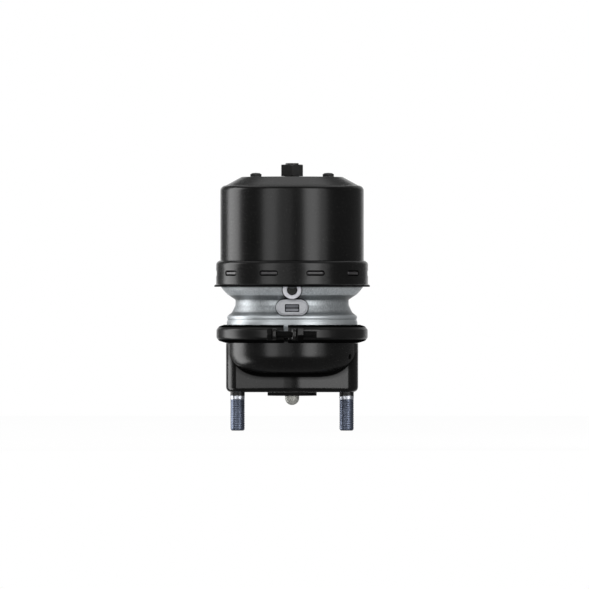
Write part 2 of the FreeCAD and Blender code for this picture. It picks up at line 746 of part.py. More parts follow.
# the spring side is a dish round the tube's hub
turned(flange, [
    ("hub_radius", WEB_TOP, "2"),
    ("waist_radius - 3", WEB_TOP, "3"),
    ("dish_radius - 7.5", f"{WEB_TOP} + 5.5", "4"),
    (f"{POT_BORE} - soft_gap - spigot_wall", f"{SEAT} - 3"),
    (f"{POT_BORE} - soft_gap - spigot_wall", f"{SEAT} + 20"),
    ("0", f"{SEAT} + 20"),
    ("0", HUB_TOP),
    ("hub_radius", HUB_TOP),
], cut=True)
turned(flange, rectangle(
    "0", f"{WEB_BASE} - 5", "tube_radius + soft_gap", f"{HUB_TOP} + 5",
), cut=True)
# bores for bush, seal and wiper, each ring filling its own land
LANDS = {
    "tube_guide_bush": ("tube_radius + 2.5", f"{WEB_BASE} + 0.6", "4"),
    "tube_seal": ("tube_radius + 3.6", f"{WEB_BASE} + 5", "3.2"),
    "tube_wiper": ("tube_radius + 3", f"{WEB_BASE} + 8.7", "2.6"),
}
for label, (outer, low, tall) in LANDS.items():
    turned(flange, rectangle("tube_radius", low, outer, f"{low} + {tall}"), cut=True)
turned(flange, rectangle(
    f"{POT_BORE} - 2", f"{SEAT} + 1.4", f"{POT_BORE} + 1", f"{SEAT} + 4.2",
), cut=True)
plug_bore = sketch_on(flange, offset=round_face)
circle(plug_bore, "0", round_boss_up, "plug_radius")
pocket(flange, plug_bore, "9")
window = sketch_on(flange, offset=oval_face)
outline(window, rectangle(
    "-window_length / 2", f"{oval_boss_up} - 0.6 - window_height / 2",
    "window_length / 2", f"{oval_boss_up} - 0.6 + window_height / 2", "1",
))
pocket(flange, window, "5")
for side, up, reach in PORTS:
    port = sketch_on(flange, offset=f"-{reach} + 0.3")
    circle(port, f"{side}port_spacing / 2", up, "port_radius")
    pocket(flange, port, "port_depth", forward=True)
    duct = sketch_on(flange, offset=f"-{reach} + 0.3 + port_depth - 1")
    circle(duct, f"{side}port_spacing / 2", up, "3")
    pocket(flange, duct, "16", forward=True)

for label, (outer, low, tall) in LANDS.items():
    ring(label, "tube_radius + fit_gap", outer, low, f"{low} + {tall}")
ring(
    "housing_seal", f"{POT_BORE} - 2", f"{POT_BORE} - fit_gap", f"{SEAT} + 1.5", f"{SEAT} + 4.1",
)

# Plug in the round boss and slotted vent insert in the oval boss
plug = new_body("port_plug")
plug_face = sketch_on(plug, offset=f"{round_face} - 8.8")
circle(plug_face, "0", round_boss_up, "plug_radius")
pad(plug, plug_face, "8")
vent = new_body("vent_insert")
vent_face = sketch_on(vent, offset=f"{oval_face} - 4.8")
outline(vent_face, rectangle(
    "-window_length / 2 + 0.1", f"{oval_boss_up} - 0.5 - window_height / 2",
    "window_length / 2 - 0.1", f"{oval_boss_up} - 0.7 + window_height / 2", "0.9",
))
pad(vent, vent_face, "3")
vent_bar = sketch_on(vent, offset=f"{oval_face} - 2")
outline(vent_bar, rectangle(
    "-window_length / 2 + 0.8", f"{oval_boss_up} - 1.4", "window_length / 2 - 0.8", f"{oval_boss_up} + 0.2",
))
pad(vent, vent_bar, "1")

# Spring housing: deep-drawn pot with a coned crown, bored for the release bush and two screws
pot = new_body("spring_housing")
turned(pot, [
    (POT_BORE, SEAT),
    ("pot_radius", SEAT),
    ("pot_radius", CROWN_FOOT, "pot_corner"),
    ("pot_crown_foot", CROWN_FOOT),
    ("pot_crown_radius", POT_TOP, "2"),
    ("bush_radius", POT_TOP),
    ("bush_radius", f"{POT_TOP} - pot_wall"),
    ("pot_crown_radius - 0.8", f"{POT_TOP} - pot_wall"),
    ("pot_crown_foot - 0.8", f"{CROWN_FOOT} - pot_wall"),
    (POT_BORE, f"{CROWN_FOOT} - pot_wall", "pot_corner - pot_wall"),
])
screw_holes = sketch_on(pot, "XY_Plane", offset=POT_TOP)
for side in ("-", ""):
    circle(screw_holes, f"{side}cover_screw_place", "0", "clamp_bolt_radius")
pocket(pot, screw_holes, "pot_wall + 1")

screws = new_body("cover_screws")
screw_shank = sketch_on(screws, "XY_Plane", offset=f"{POT_TOP} - pot_wall")
screw_head = sketch_on(screws, "XY_Plane", offset=POT_TOP)
for side in ("-", ""):
    circle(screw_shank, f"{side}cover_screw_place", "0", "clamp_bolt_radius")
    outline(screw_head, shifted(hexagon("small_hex"), f"{side}cover_screw_place", "0"))
pad(screws, screw_shank, "pot_wall + 0.5")
pad(screws, screw_head, "cover_screw_head")

# Locking ring: pressed hoop, shouldered on the pot, folded under the flange and slotted
lock = new_body("locking_ring")
turned(lock, [
    ("dish_radius + 0.4", RING_BASE),
    ("ring_lip", RING_BASE, "0.5"),
    ("ring_lip", f"{RING_BASE} + ring_fold", "0.5"),
    ("ring_radius", f"{RING_BASE} + ring_fold + 1.4"),
    ("ring_radius", f"{RING_BASE} + ring_height - 3.2", "4.5"),
    ("pot_radius + soft_gap", f"{RING_BASE} + ring_height"),
    ("pot_radius + soft_gap", f"{RING_BASE} + ring_height - 2.6"),
    (RING_BORE, f"{RING_BASE} + ring_height - 4.6"),
    (RING_BORE, f"{RING_BASE} + ring_fold"),
    ("dish_radius + 0.4", f"{RING_BASE} + ring_fold"),
])
half_step = "180 / slot_count"
slot = sketch_on(lock, turn=half_step)
outline(slot, stadium("0", f"{RING_BASE} + slot_rise", "slot_length", "slot_height"))
slot_cut = pocket(lock, slot, "ring_lip + 5", forward=True)
polar(lock, slot_cut, "slot_count")

# Keys: hard bars on the pot's wall that stand in the ring's slots
keys = new_body("locking_keys")
keys.AllowCompound = True
key_blank = sketch_on(keys, turn=half_step)
outline(key_blank, stadium("0", f"{RING_BASE} + slot_rise", "key_length", "key_height"))
key_pad = pad(keys, key_blank, "ring_radius - 0.9")
key_back = turned(
    keys, rectangle("0", RING_BASE, "pot_radius", f"{RING_BASE} + ring_height"), cut=True,
)
key_pattern = keys.newObject("PartDesign::PolarPattern", "key_pattern")
key_pattern.Originals = [key_pad, key_back]
key_pattern.Axis = (origin(keys, "Z_Axis"), [""])
key_pattern.Angle = 360
key_pattern.setExpression("Occurrences", "Sizes.slot_count")
finish(keys, key_pattern)

# Spring piston: dished disc with a deep rim, its lip seal and guide ring
piston = new_body("spring_piston")
rim = f"{POT_BORE} - soft_gap"
turned(piston, [
    ("tube_radius", PISTON_BASE),
    ("power_radius + power_wire / 2 + 5", PISTON_BASE, "3"),
    (f"{rim} - piston_rim_wall + 2", PISTON_RIM_BASE),
    (rim, PISTON_RIM_BASE, "0.8"),
    (rim, f"{PISTON_RIM_BASE} + piston_rim_height", "0.8"),
    (f"{rim} - piston_rim_wall", f"{PISTON_RIM_BASE} + piston_rim_height"),
    ("power_radius + power_wire / 2 + 2", SPRING_SEAT, "3"),
    ("tube_radius", SPRING_SEAT),
])
for low in ("1.2", "5.2"):
    turned(piston, rectangle(
        f"{POT_BORE} - 4", f"{PISTON_RIM_BASE} + {low}",
        f"{POT_BORE} + 2", f"{PISTON_RIM_BASE} + {low} + 2.6",
    ), cut=True)
for label, low in (("piston_seal", "1.2"), ("piston_guide_ring", "5.2")):
    ring(
        label, f"{POT_BORE} - 4", f"{POT_BORE} - fit_gap",
        f"{PISTON_RIM_BASE} + {low}", f"{PISTON_RIM_BASE} + {low} + 2.6",
    )

# Tube of the spring piston, closed below by a plug and holding the catch collar above
tube = new_body("piston_tube")
turned(tube, [
    (TUBE_BORE, f"{TUBE_BASE} + 2"),
    ("tube_radius", f"{TUBE_BASE} + 2"),
    ("tube_radius", TUBE_TOP, "1"),
    (TUBE_BORE, TUBE_TOP),
])
turned(tube, rectangle(
    f"{TUBE_BORE} - 1", f"{COLLAR_BASE} + collar_height",
    f"{TUBE_BORE} + 1.2", f"{COLLAR_BASE} + collar_height + 1.2",
), cut=True)
end_plug = new_body("tube_end_plug")
turned(end_plug, [
    ("0", TUBE_BASE),
    ("tube_radius", TUBE_BASE, "1"),
    ("tube_radius", f"{TUBE_BASE} + 2"),
    (TUBE_BORE, f"{TUBE_BASE} + 2"),
    (TUBE_BORE, f"{TUBE_BASE} + 4.2"),
    ("0", f"{TUBE_BASE} + 4.2"),
])
ring("catch_collar", "release_radius + 0.6", TUBE_BORE, COLLAR_BASE, f"{COLLAR_BASE} + collar_height")
ring(
    "collar_circlip", f"{TUBE_BORE} - 1.6", f"{TUBE_BORE} + 1.1",
    f"{COLLAR_BASE} + collar_height", f"{COLLAR_BASE} + collar_height + 1.2",
)

# Power spring: heavy coil between the piston and the seat under the crown
coil_low = f"({SPRING_SEAT} + power_wire / 2 + 0.1)"
seat_low = f"({POT_TOP} - pot_wall - 2.6)"
coil_rise = f"({seat_low} - power_wire / 2 - 0.1 - {coil_low})"
helix("power_spring", "power_radius", coil_low, "power_wire", coil_rise, "power_turns")
ring(
    "spring_seat", "power_radius - power_wire / 2 - 3", "pot_crown_radius - 0.8",
    seat_low, f"{POT_TOP} - pot_wall",
)

# Release bush in the crown, and the bolt that screws out through it to lift the piston
bush = new_body("release_bush")
turned(bush, [
    ("release_radius + fit_gap", BUSH_BASE),
    ("bush_flange_radius", BUSH_BASE, "1"),
    ("bush_flange_radius", f"{POT_TOP} - pot_wall"),
    ("bush_radius", f"{POT_TOP} - pot_wall"),
    ("bush_radius", f"{POT_TOP} + 0.4"),
    ("release_radius + fit_gap", f"{POT_TOP} + 0.4"),
])
bolt = new_body("release_bolt")
turned(bolt, [
    ("0", CATCH_BASE),
    ("catch_radius", CATCH_BASE, "0.8"),
    ("catch_radius", f"{CATCH_BASE} + catch_height"),
    ("release_radius", f"{CATCH_BASE} + catch_height"),
    ("release_radius", f"{POT_TOP} + release_nut"),
    ("release_radius - 0.7", f"{POT_TOP} + 0.8 + release_nut"),
    ("release_radius - 0.7", f"{POT_TOP} + 0.8 + release_nut + release_stub", "0.6"),
    ("0", f"{POT_TOP} + 0.8 + release_nut + release_stub"),
])
nut = new_body("release_hex")
nut_base = sketch_on(nut, "XY_Plane", offset=f"{POT_TOP} + 0.8")
outline(nut_base, hexagon("release_hex"))
pad(nut, nut_base, "release_nut")
hex_chamfer(nut, "release_hex", f"({POT_TOP} + 0.8 + release_nut)")
turned(nut, [
    ("0", POT_TOP),
    ("release_radius", POT_TOP),
    ("release_radius", f"{POT_TOP} + release_nut"),
    ("release_radius - 0.7", f"{POT_TOP} + 0.8 + release_nut"),
    ("release_radius - 0.7", f"{POT_TOP} + 5 + release_nut"),
    ("0", f"{POT_TOP} + 5 + release_nut"),
], cut=True)
ring(
    "thrust_race", "release_radius + fit_gap", "catch_radius",
    f"{CATCH_BASE} + catch_height", RACE_TOP,
)

# Every object is checked before any file is written
doc.recompute()
for thing in doc.Objects:
    if "Invalid" in thing.State or "Error" in thing.State:
        raise RuntimeError(f"{thing.Label} failed: {thing.State}")
for body in sub_parts:
    if body.Shape.isNull() or not body.Shape.isValid():
        raise RuntimeError(f"{body.Label} has no valid shape")
os.makedirs("parts", exist_ok=True)
for body in sub_parts:
    body.Shape.exportStep(f"parts/{body.Label}.step")
    print(f"{body.Label}: {len(body.Shape.Solids)} solids, {body.Shape.Volume:.0f} mm3")
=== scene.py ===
import math

import bmesh
import bpy
import numpy as np
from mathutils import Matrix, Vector


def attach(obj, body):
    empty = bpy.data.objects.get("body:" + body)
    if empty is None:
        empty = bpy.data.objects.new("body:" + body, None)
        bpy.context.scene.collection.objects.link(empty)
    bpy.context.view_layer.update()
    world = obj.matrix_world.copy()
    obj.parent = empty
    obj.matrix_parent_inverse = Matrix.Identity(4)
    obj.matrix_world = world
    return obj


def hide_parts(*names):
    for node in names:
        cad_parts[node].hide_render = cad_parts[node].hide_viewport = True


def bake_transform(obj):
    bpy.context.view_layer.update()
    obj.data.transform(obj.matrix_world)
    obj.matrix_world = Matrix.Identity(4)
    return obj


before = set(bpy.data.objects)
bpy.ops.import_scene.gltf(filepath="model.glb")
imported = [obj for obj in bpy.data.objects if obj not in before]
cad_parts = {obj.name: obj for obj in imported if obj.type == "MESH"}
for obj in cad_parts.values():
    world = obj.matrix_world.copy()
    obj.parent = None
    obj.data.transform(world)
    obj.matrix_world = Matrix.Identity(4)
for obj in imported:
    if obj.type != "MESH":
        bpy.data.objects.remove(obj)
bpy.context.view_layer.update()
MM = 0.001

# Spring pot
# A deep-drawn steel shell with a coned crown, a rounded edge and a hole for the bush, in black
# stoving paint. Its open end stands on the flange's rim and the locking ring holds it there.
POT_RADIUS = 79.4
POT_TOP = 238.0
POT_FOOT = 228.6
POT_SEAT = 121.0
POT_WALL = 3.0
# in metres, the height over which a lip of painted shade fades into the gloss
SHADE_FADE = 0.0004


class Wire:
    """One socket's value: its operators add Math nodes, and node() adds any other kind."""

    def __init__(self, tree, socket):
        self.tree = tree
        self.socket = socket

    def node(self, kind, settings=None, out=0, **values):
        """A node of that type: settings first, then values or wires on its named sockets."""
        made = self.tree.nodes.new(kind)
        for name, value in (settings or {}).items():
            setattr(made, name, value)
        for name, value in values.items():
            socket = made.inputs[int(name[1:])] if name[0] == "_" else made.inputs[name.replace("_", " ")]
            if isinstance(value, Wire):
                self.tree.links.new(value.socket, socket)
            else:
                socket.default_value = value
        return Wire(self.tree, made.outputs[out])

    def math(self, operation, *others):
        values = {f"_{i}": v for i, v in enumerate((self, *others))}
        return self.node("ShaderNodeMath", {"operation": operation}, **values)

    def __add__(self, other):
        return self.math("ADD", other)

    __radd__ = __add__

    def __mul__(self, other):
        return self.math("MULTIPLY", other)

    __rmul__ = __mul__

    def __sub__(self, other):
        return self.math("SUBTRACT", other)

    def __rsub__(self, other):
        return self.node("ShaderNodeMath", {"operation": "SUBTRACT"}, _0=other, _1=self)

    def clamped(self, low, high):
        """0 below low, 1 above high, and a straight rise between."""
        return self.node(
            "ShaderNodeMapRange", {"clamp": True},
            Value=self, From_Min=low, From_Max=high, To_Min=0.0, To_Max=1.0,
        )

    def blend(self, a, b):
        """Colour a where this is 0 and colour b where it is 1."""
        return self.node("ShaderNodeMix", {"data_type": "RGBA"}, out=2, _0=self, _6=a, _7=b)


def rgb(*srgb):
    """A colour written as 0-255 screen values, in linear light."""
    share = np.array(srgb) / 255
    linear = np.where(share <= 0.04045, share / 12.92, ((share + 0.055) / 1.055) ** 2.4)
    return (*linear.tolist(), 1.0)


def material(name, metallic=0.0, specular=0.5):
    """An empty Principled material: the material, its shader node and a wire on Object coordinates."""
    made = bpy.data.materials.new(name)
    made.use_nodes = True
    tree = made.node_tree
    shader = tree.nodes["Principled BSDF"]
    shader.inputs["Metallic"].default_value = metallic
    shader.inputs["IOR"].default_value = 1.5
    shader.inputs["Specular IOR Level"].default_value = specular
    place = tree.nodes.new("ShaderNodeTexCoord")
    return made, shader, Wire(tree, place.outputs["Object"])


def feed(shader, **wires):
    """Links wires, or sets plain values, on the shader's inputs."""
    for name, value in wires.items():
        socket = shader.inputs[name.replace("_", " ")]
        if isinstance(value, Wire):
            value.tree.links.new(value.socket, socket)
        else:
            socket.default_value = value


def noise(place, scale, detail=3.0, roughness=0.5, stretch=(1.0, 1.0, 1.0)):
    """Noise on the object's coordinates, 0 to 1, with scale in spots per metre."""
    spread = place.node("ShaderNodeMapping", Vector=place, Scale=stretch)
    return place.node("ShaderNodeTexNoise", Vector=spread, Scale=scale, Detail=detail, Roughness=roughness)


def bump(place, height, distance):
    """A Bump node's normal for a height of 0 to 1 times the distance in metres."""
    return place.node("ShaderNodeBump", Height=height, Distance=distance, Strength=1.0)


def part_of(place, axis):
    """One coordinate of the object's place."""
    return place.node("ShaderNodeSeparateXYZ", out="XYZ".index(axis), _0=place)


def black_paint(name, dark, light, rough, peel, gloss=0.35, shaded_lips=()):
    """Black stoving paint with cloudy gloss, a little dust and orange peel, peel metres deep. Painted
    shade makes it dull and quite black where the mesh's own painted_shade value is 1 and in
    shaded_lips, which are height ranges in millimetres."""
    made, shader, place = material(name, specular=gloss)
    cloud = noise(place, 26, detail=4)
    dust = noise(place, 900, detail=2).clamped(0.66, 0.8)
    tone = cloud.clamped(0.3, 0.75).blend(dark, light)
    feed(shader, Base_Color=(dust * 0.4).blend(tone, rgb(88, 86, 82)))
    feed(shader, Roughness=cloud * 0.06 + rough + dust * 0.12)
    feed(shader, Normal=bump(place, noise(place, 420, detail=2), peel))
    height = part_of(place, "Z")
    shade_mask = place.node("ShaderNodeAttribute", {"attribute_name": "painted_shade"}, out=2)
    for low, high in shaded_lips:
        above = height.clamped(low * MM, low * MM + SHADE_FADE)
        below = 1.0 - height.clamped(high * MM, high * MM + SHADE_FADE)
        shade_mask = above * below + shade_mask
    tree = made.node_tree
    # painted shade: a near-black dull diffuse takes over where the shade mask is 1
    painted_dark = place.node("ShaderNodeBsdfDiffuse", Color=cloud.blend(rgb(2, 2, 2), rgb(12, 12, 12)))
    both = place.node("ShaderNodeMixShader", _0=shade_mask, _2=painted_dark)
    tree.links.new(shader.outputs[0], both.socket.node.inputs[1])
    tree.links.new(both.socket, tree.nodes["Material Output"].inputs[0])
    return made


def round_corners(corners, steps=7):
    """Points along an outline whose corner i turns with radius corners[i][2], if it has one.
    An arc starts and ends radius * tan(turn / 2) before and after its corner."""
    flat = np.array([c[:2] for c in corners], float)
    points = []
    for i, corner in enumerate(corners):
        radius = corner[2] if len(corner) > 2 else 0.0
        if not radius:
            points.append(flat[i])
            continue
        come = flat[i] - flat[i - 1]
        go = flat[(i + 1) % len(flat)] - flat[i]
        come /= np.linalg.norm(come)
        go /= np.linalg.norm(go)
        turn = math.atan2(come[0] * go[1] - come[1] * go[0], come @ go)
        reach = radius * math.tan(abs(turn) / 2)
        entry = flat[i] - come * reach
        side = math.copysign(1.0, turn)
        centre = entry + radius * side * np.array([-come[1], come[0]])
        angles = np.linspace(0, turn, steps)[:, None]
        arm = entry - centre
        cross = np.array([-arm[1], arm[0]])
        points.extend(centre + arm * np.cos(angles) + cross * np.sin(angles))
    return np.array(points)


def wound(rows, columns, closed_rows=True):
    """The quads of a grid of rows * columns points, whose columns close round."""
    r = np.arange(rows if closed_rows else rows - 1)[:, None]
    c = np.arange(columns)[None, :]
    r2 = (r + 1) % rows
    c2 = (c + 1) % columns
    quads = np.stack([r * columns + c, r * columns + c2, r2 * columns + c2, r2 * columns + c], axis=-1)
    return quads.reshape(-1, 4)


def dressed(name, mesh, finish, body, nodes, smooth):
    """The mesh as a finished piece: merged, facing outwards and smooth up to an angle, with its
    finish and material slot, riding on a body and standing for CAD nodes."""
    work = bmesh.new()
    work.from_mesh(mesh)
    bmesh.ops.remove_doubles(work, verts=work.verts, dist=2e-6)
    bmesh.ops.dissolve_degenerate(work, edges=work.edges, dist=1e-7)
    bmesh.ops.recalc_face_normals(work, faces=work.faces)
    work.to_mesh(mesh)
    work.free()
    mesh.shade_smooth()
    mesh.set_sharp_from_angle(angle=math.radians(smooth))
    mesh.materials.clear()
    mesh.materials.append(finish)
    made = bpy.data.objects.new(name, mesh)
    bpy.context.scene.collection.objects.link(made)
    if body:
        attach(made, body)
    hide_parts(*nodes)
    return made


def piece(name, points, faces, finish, slot, body, nodes, smooth=35, painted_shade=None):
    """A piece from points in millimetres and faces; painted_shade is a share of painted shade for each
    point.
    """
    mesh = bpy.data.meshes.new(name)
    mesh.from_pydata((np.asarray(points) * MM).tolist(), [], [list(f) for f in faces])
    if painted_shade is not None:
        mesh.attributes.new("painted_shade", "FLOAT", "POINT").data.foreach_set("value", np.ravel(painted_shade))
    return dressed(name, mesh, finish, body, nodes, smooth)


def revolved(profile, columns=224):
    """Points and faces of a closed profile (radius, height) carried round Z. At angle t the
    point is (radius cos t, radius sin t, height)."""
    t = np.linspace(0, 2 * np.pi, columns, endpoint=False)
    r = profile[:, 0, None]
    z = profile[:, 1, None]
    points = np.stack([r * np.cos(t), r * np.sin(t), z + 0 * t], axis=-1)
    return points.reshape(-1, 3), wound(len(profile), columns)


pot_paint = black_paint("pot_paint", rgb(6, 6, 6), rgb(10, 10, 10), rough=0.22, peel=0.00001)
pot_profile = round_corners([
    (POT_RADIUS - POT_WALL, POT_SEAT),
    (POT_RADIUS, POT_SEAT, 0.4),
    (POT_RADIUS, POT_FOOT, 6.0),
    (73.3, POT_FOOT, 0.7),
    (56.0, POT_TOP, 1.6),
    (12.0, POT_TOP),
    (12.0, POT_TOP - POT_WALL),
    (55.2, POT_TOP - POT_WALL),
    (72.5, POT_FOOT - POT_WALL),
    (POT_RADIUS - POT_WALL, POT_FOOT - POT_WALL, 3.0),
])
piece("pot_shell", *revolved(pot_profile), pot_paint, "black_paint", "housing", ["spring_housing"])

# Release hexagon
# The blackened 24 mm head that a spanner turns to wind the parking brake off, with the bolt's
# round end standing out of it. Both turn in a steel bush that is fixed in the crown.
HEX_FLATS = 24.0
HEX_LOW = 238.8
HEX_TOP = 251.7


def merged(node, finish, body="housing", smooth=32):
    """The CAD node's own mesh as a smooth piece, for shapes that the grids don't suit."""
    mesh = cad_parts[node].data.copy()
    return dressed(node + "_look", mesh, finish, body, [node], smooth)


def hexagon(flats, low, high, bevels=(0.0, 1.0), turn=0.0):
    """Points and faces of a hexagonal head. At angle t the prism's radius is
    half the flats / cos(t folded into -30..30 degrees), cut back near the ends by 30 degree
    cones that start at 0.97 of half the flats; bevels says which ends have a cone."""
    columns = 96
    t = np.linspace(0, 2 * np.pi, columns, endpoint=False) + math.radians(turn)
    folded = (t - math.radians(turn) + np.pi / 6) % (np.pi / 3) - np.pi / 6
    prism = flats / 2 / np.cos(folded)
    start = 0.97 * flats / 2
    drop = (prism - start) * math.tan(math.radians(30))
    rim = [
        (np.zeros_like(t), low + 0 * t),
        (np.minimum(prism, start) if bevels[0] else prism, low + 0 * t),
        (prism, low + drop * bevels[0]),
        (prism, high - drop * bevels[1]),
        (np.minimum(prism, start) if bevels[1] else prism, high + 0 * t),
        (np.zeros_like(t), high + 0 * t),
    ]
    points = np.array([np.stack([r * np.cos(t), r * np.sin(t), z], axis=-1) for r, z in rim])
    return points.reshape(-1, 3), wound(len(rim), columns, closed_rows=False)


def metal(name, dark, light, rough, grain, depth, stretch=(1.0, 1.0, 1.0), metallic=1.0):
    """Worked metal: cloudy between two tones, with a grain of that many spots per metre and that
    depth in metres, drawn out by the stretch."""
    made, shader, place = material(name, metallic=metallic)
    cloud = noise(place, 30, detail=4)
    fine = noise(place, grain, detail=3, roughness=0.6, stretch=stretch)
    feed(shader, Base_Color=(cloud * 0.6 + fine * 0.4).clamped(0.3, 0.7).blend(dark, light))
    feed(shader, Roughness=fine * 0.16 + rough)
    feed(shader, Normal=bump(place, fine, depth))
    return made


fastener_black = black_paint(
    "fastener_black", rgb(18, 18, 18), rgb(34, 33, 31), rough=0.30, peel=0.00004,
)
turned_steel = metal(
    "turned_steel", rgb(140, 142, 146), rgb(176, 178, 182), rough=0.25, grain=800, depth=0.00002,
    stretch=(0.1, 0.1, 1.0),
)
piece(
    "release_nut", *hexagon(HEX_FLATS, HEX_LOW, HEX_TOP, bevels=(0.6, 1.0)),
    fastener_black, "black_fastener", "release_bolt", ["release_hex"],
)
merged("release_bolt", fastener_black, "release_bolt")
merged("release_bush", turned_steel)

# Cover screws
# Two small hexagon heads with domed tops, blackened, screwed into the crown on either side of
# the release hexagon, in line with the studs.
SCREW_X = 40.05
SCREW_FLATS = 12.4
SCREW_LOW = 237.9
SCREW_TOP = 241.4
UPRIGHT = ((1, 0, 0), (0, 1, 0), (0, 0, 1))


def placed(shape, shift, axes=UPRIGHT):
    """The shape's points turned by a 3x3 matrix and moved."""
    points, faces = shape
    return points @ np.array(axes, float).T + np.array(shift, float), faces


def together(*shapes):
    """Several closed shapes as one set of points and faces."""
    points = []
    faces = []
    count = 0
    for some_points, some_faces in shapes:
        points.append(some_points)
        faces.append(some_faces + count)
        count += len(some_points)
    return np.concatenate(points), np.concatenate(faces)


screw_black = black_paint("screw_black", rgb(30, 30, 30), rgb(60, 60, 60), rough=0.26, peel=0.00004)
dome = revolved(round_corners([(0.0, 240.6), (5.4, 240.6), (5.0, 242.2, 1.4), (0.0, 242.7)]), 48)
screw = together(hexagon(SCREW_FLATS, SCREW_LOW, SCREW_TOP), dome)
screws = together(*(placed(screw, (side * SCREW_X, 0, 0)) for side in (-1, 1)))
piece("cover_screw_heads", *screws, screw_black, "black_fastener", "housing", ["cover_screws"], smooth=25)

# Locking ring
# A folded steel hoop in black paint, flared at its lower lip, that holds the pot down on the
# flange; the lip is painted black as shade. Ten slots, each in its own panel, show the keys and,
# behind them, a black strip of painted shade.
RING_OUT = 84.1
RING_IN = 81.8
SLOTS = 10
HALF_PANEL = 180 / SLOTS
SLOT_Z = 131.4
SLOT_HALF = 10.7
SLOT_RISE = 3.05
PANEL_HALF = 7.5
COLUMNS = 240
STRIP_IN = 80.2
STRIP_OUT = 81.5
STRIP_HALF = 4.4
# the lower lip, from 115.8 to 118 mm, is painted black and dull as shade
pressed_paint = black_paint(
    "pressed_paint", rgb(8, 8, 8), rgb(13, 13, 13), rough=0.22, peel=0.00003, shaded_lips=((115.8, 118.0),),
)
key_black = black_paint("key_black", rgb(48, 47, 48), rgb(66, 64, 66), rough=0.24, peel=0.00004, gloss=0.5)
ring_out = round_corners([
    (RING_IN, SLOT_Z - PANEL_HALF),
    (RING_IN, 117.9),
    (79.3, 117.9),
    (79.3, 116.4),
    (86.1, 116.4, 0.6),
    (86.1, 117.9, 0.6),
    (RING_OUT, 119.4, 1.0),
    (RING_OUT, SLOT_Z - PANEL_HALF),
])
ring_top = round_corners([
    (RING_OUT, SLOT_Z + PANEL_HALF),
    (RING_OUT, 142.9, 4.5),
    (79.7, 146.1, 0.8),
    (79.7, 143.5),
    (RING_IN, 141.5),
    (RING_IN, SLOT_Z + PANEL_HALF),
])


def open_band(profile):
    """A profile carried round Z without closing its ends."""
    points, _ = revolved(profile, COLUMNS)
    return points, wound(len(profile), COLUMNS, closed_rows=False)


def quarter_loop(quarter):
    """The loop of a quarter that runs from the +x axis to the +z axis, mirrored to all four."""
    flip = ((1, 1), (-1, 1), (-1, -1), (1, -1))
    turns = [quarter * f for f in flip]
    return np.concatenate([turns[0][:-1], turns[1][::-1][:-1], turns[2][:-1], turns[3][::-1][:-1]])


# the panel's quarter: 5 steps up its side and 12 along its top, as the hoop's columns have them
side_steps = np.linspace(0, PANEL_HALF, 6)
top_angles = np.radians(np.linspace(HALF_PANEL, 0, 13))
panel = np.concatenate([
    np.stack([np.full(6, RING_OUT * math.sin(math.radians(HALF_PANEL))), side_steps], axis=-1),
    np.stack([RING_OUT * np.sin(top_angles[1:]), np.full(12, PANEL_HALF)], axis=-1),
])
bend = np.linspace(0, np.pi / 2, 9)
slot = np.concatenate([
    np.stack([SLOT_HALF - SLOT_RISE + SLOT_RISE * np.cos(bend), SLOT_RISE * np.sin(bend)], axis=-1),
    np.stack([np.linspace(SLOT_HALF - SLOT_RISE, 0, 10)[1:], np.full(9, SLOT_RISE)], axis=-1),
])
panel_loop = quarter_loop(panel)
slot_loop = quarter_loop(slot)


def on_hoop(loop, radius, turn):
    """Loop point (x, z) at angle asin(x / outer radius) + turn from the viewer's side."""
    a = np.arcsin(loop[:, 0] / RING_OUT) + math.radians(turn)
    return np.stack([radius * np.sin(a), -radius * np.cos(a), loop[:, 1] + SLOT_Z], axis=-1)


def slotted_panel(turn):
    """Outer face from the panel's edge to the slot, through the slot's wall, and the inner face back."""
    shares = (1.0, 0.6, 0.3, 0.1, 0.0)
    rows = [on_hoop(slot_loop + (panel_loop - slot_loop) * s, RING_OUT, turn) for s in shares]
    rows += [on_hoop(slot_loop + (panel_loop - slot_loop) * s, RING_IN, turn) for s in shares[::-1]]
    points = np.array(rows)
    return points.reshape(-1, 3), wound(len(rows), points.shape[1], closed_rows=False)


def soft_black(name, dark, light, rough, grain, depth, gloss=0.5):
    """Moulded rubber or polymer: cloudy between two tones, with a grain of that many spots per
    metre and that depth in metres."""
    made, shader, place = material(name, specular=gloss)
    cloud = noise(place, 60, detail=4)
    feed(shader, Base_Color=cloud.clamped(0.3, 0.7).blend(dark, light))
    feed(shader, Roughness=cloud * 0.12 + rough)
    feed(shader, Normal=bump(place, noise(place, grain, detail=2), depth))
    return made


# a near-black rubber that hardly reflects, for sheets of painted shade behind the slots and the vent's
# plates
shadow_black = soft_black(
    "shadow_black", rgb(4, 4, 4), rgb(9, 9, 9), rough=0.8, grain=1500, depth=0.00006, gloss=0.05,
)
panels = [slotted_panel(HALF_PANEL * (2 * k + 1)) for k in range(SLOTS)]
ring_shape = together(open_band(ring_out), open_band(ring_top), *panels)
piece("slotted_ring", *ring_shape, pressed_paint, "black_paint", "housing", ["locking_ring"], smooth=40)
# painted shade: a black strip behind the slots, where only shade is seen
strip = revolved(np.array([
    (STRIP_IN, SLOT_Z - STRIP_HALF),
    (STRIP_OUT, SLOT_Z - STRIP_HALF),
    (STRIP_OUT, SLOT_Z + STRIP_HALF),
    (STRIP_IN, SLOT_Z + STRIP_HALF),
]))
piece("slot_shadow_strip", *strip, shadow_black, "black_rubber", "housing", ["locking_ring"])
merged("locking_keys", key_black, smooth=40)

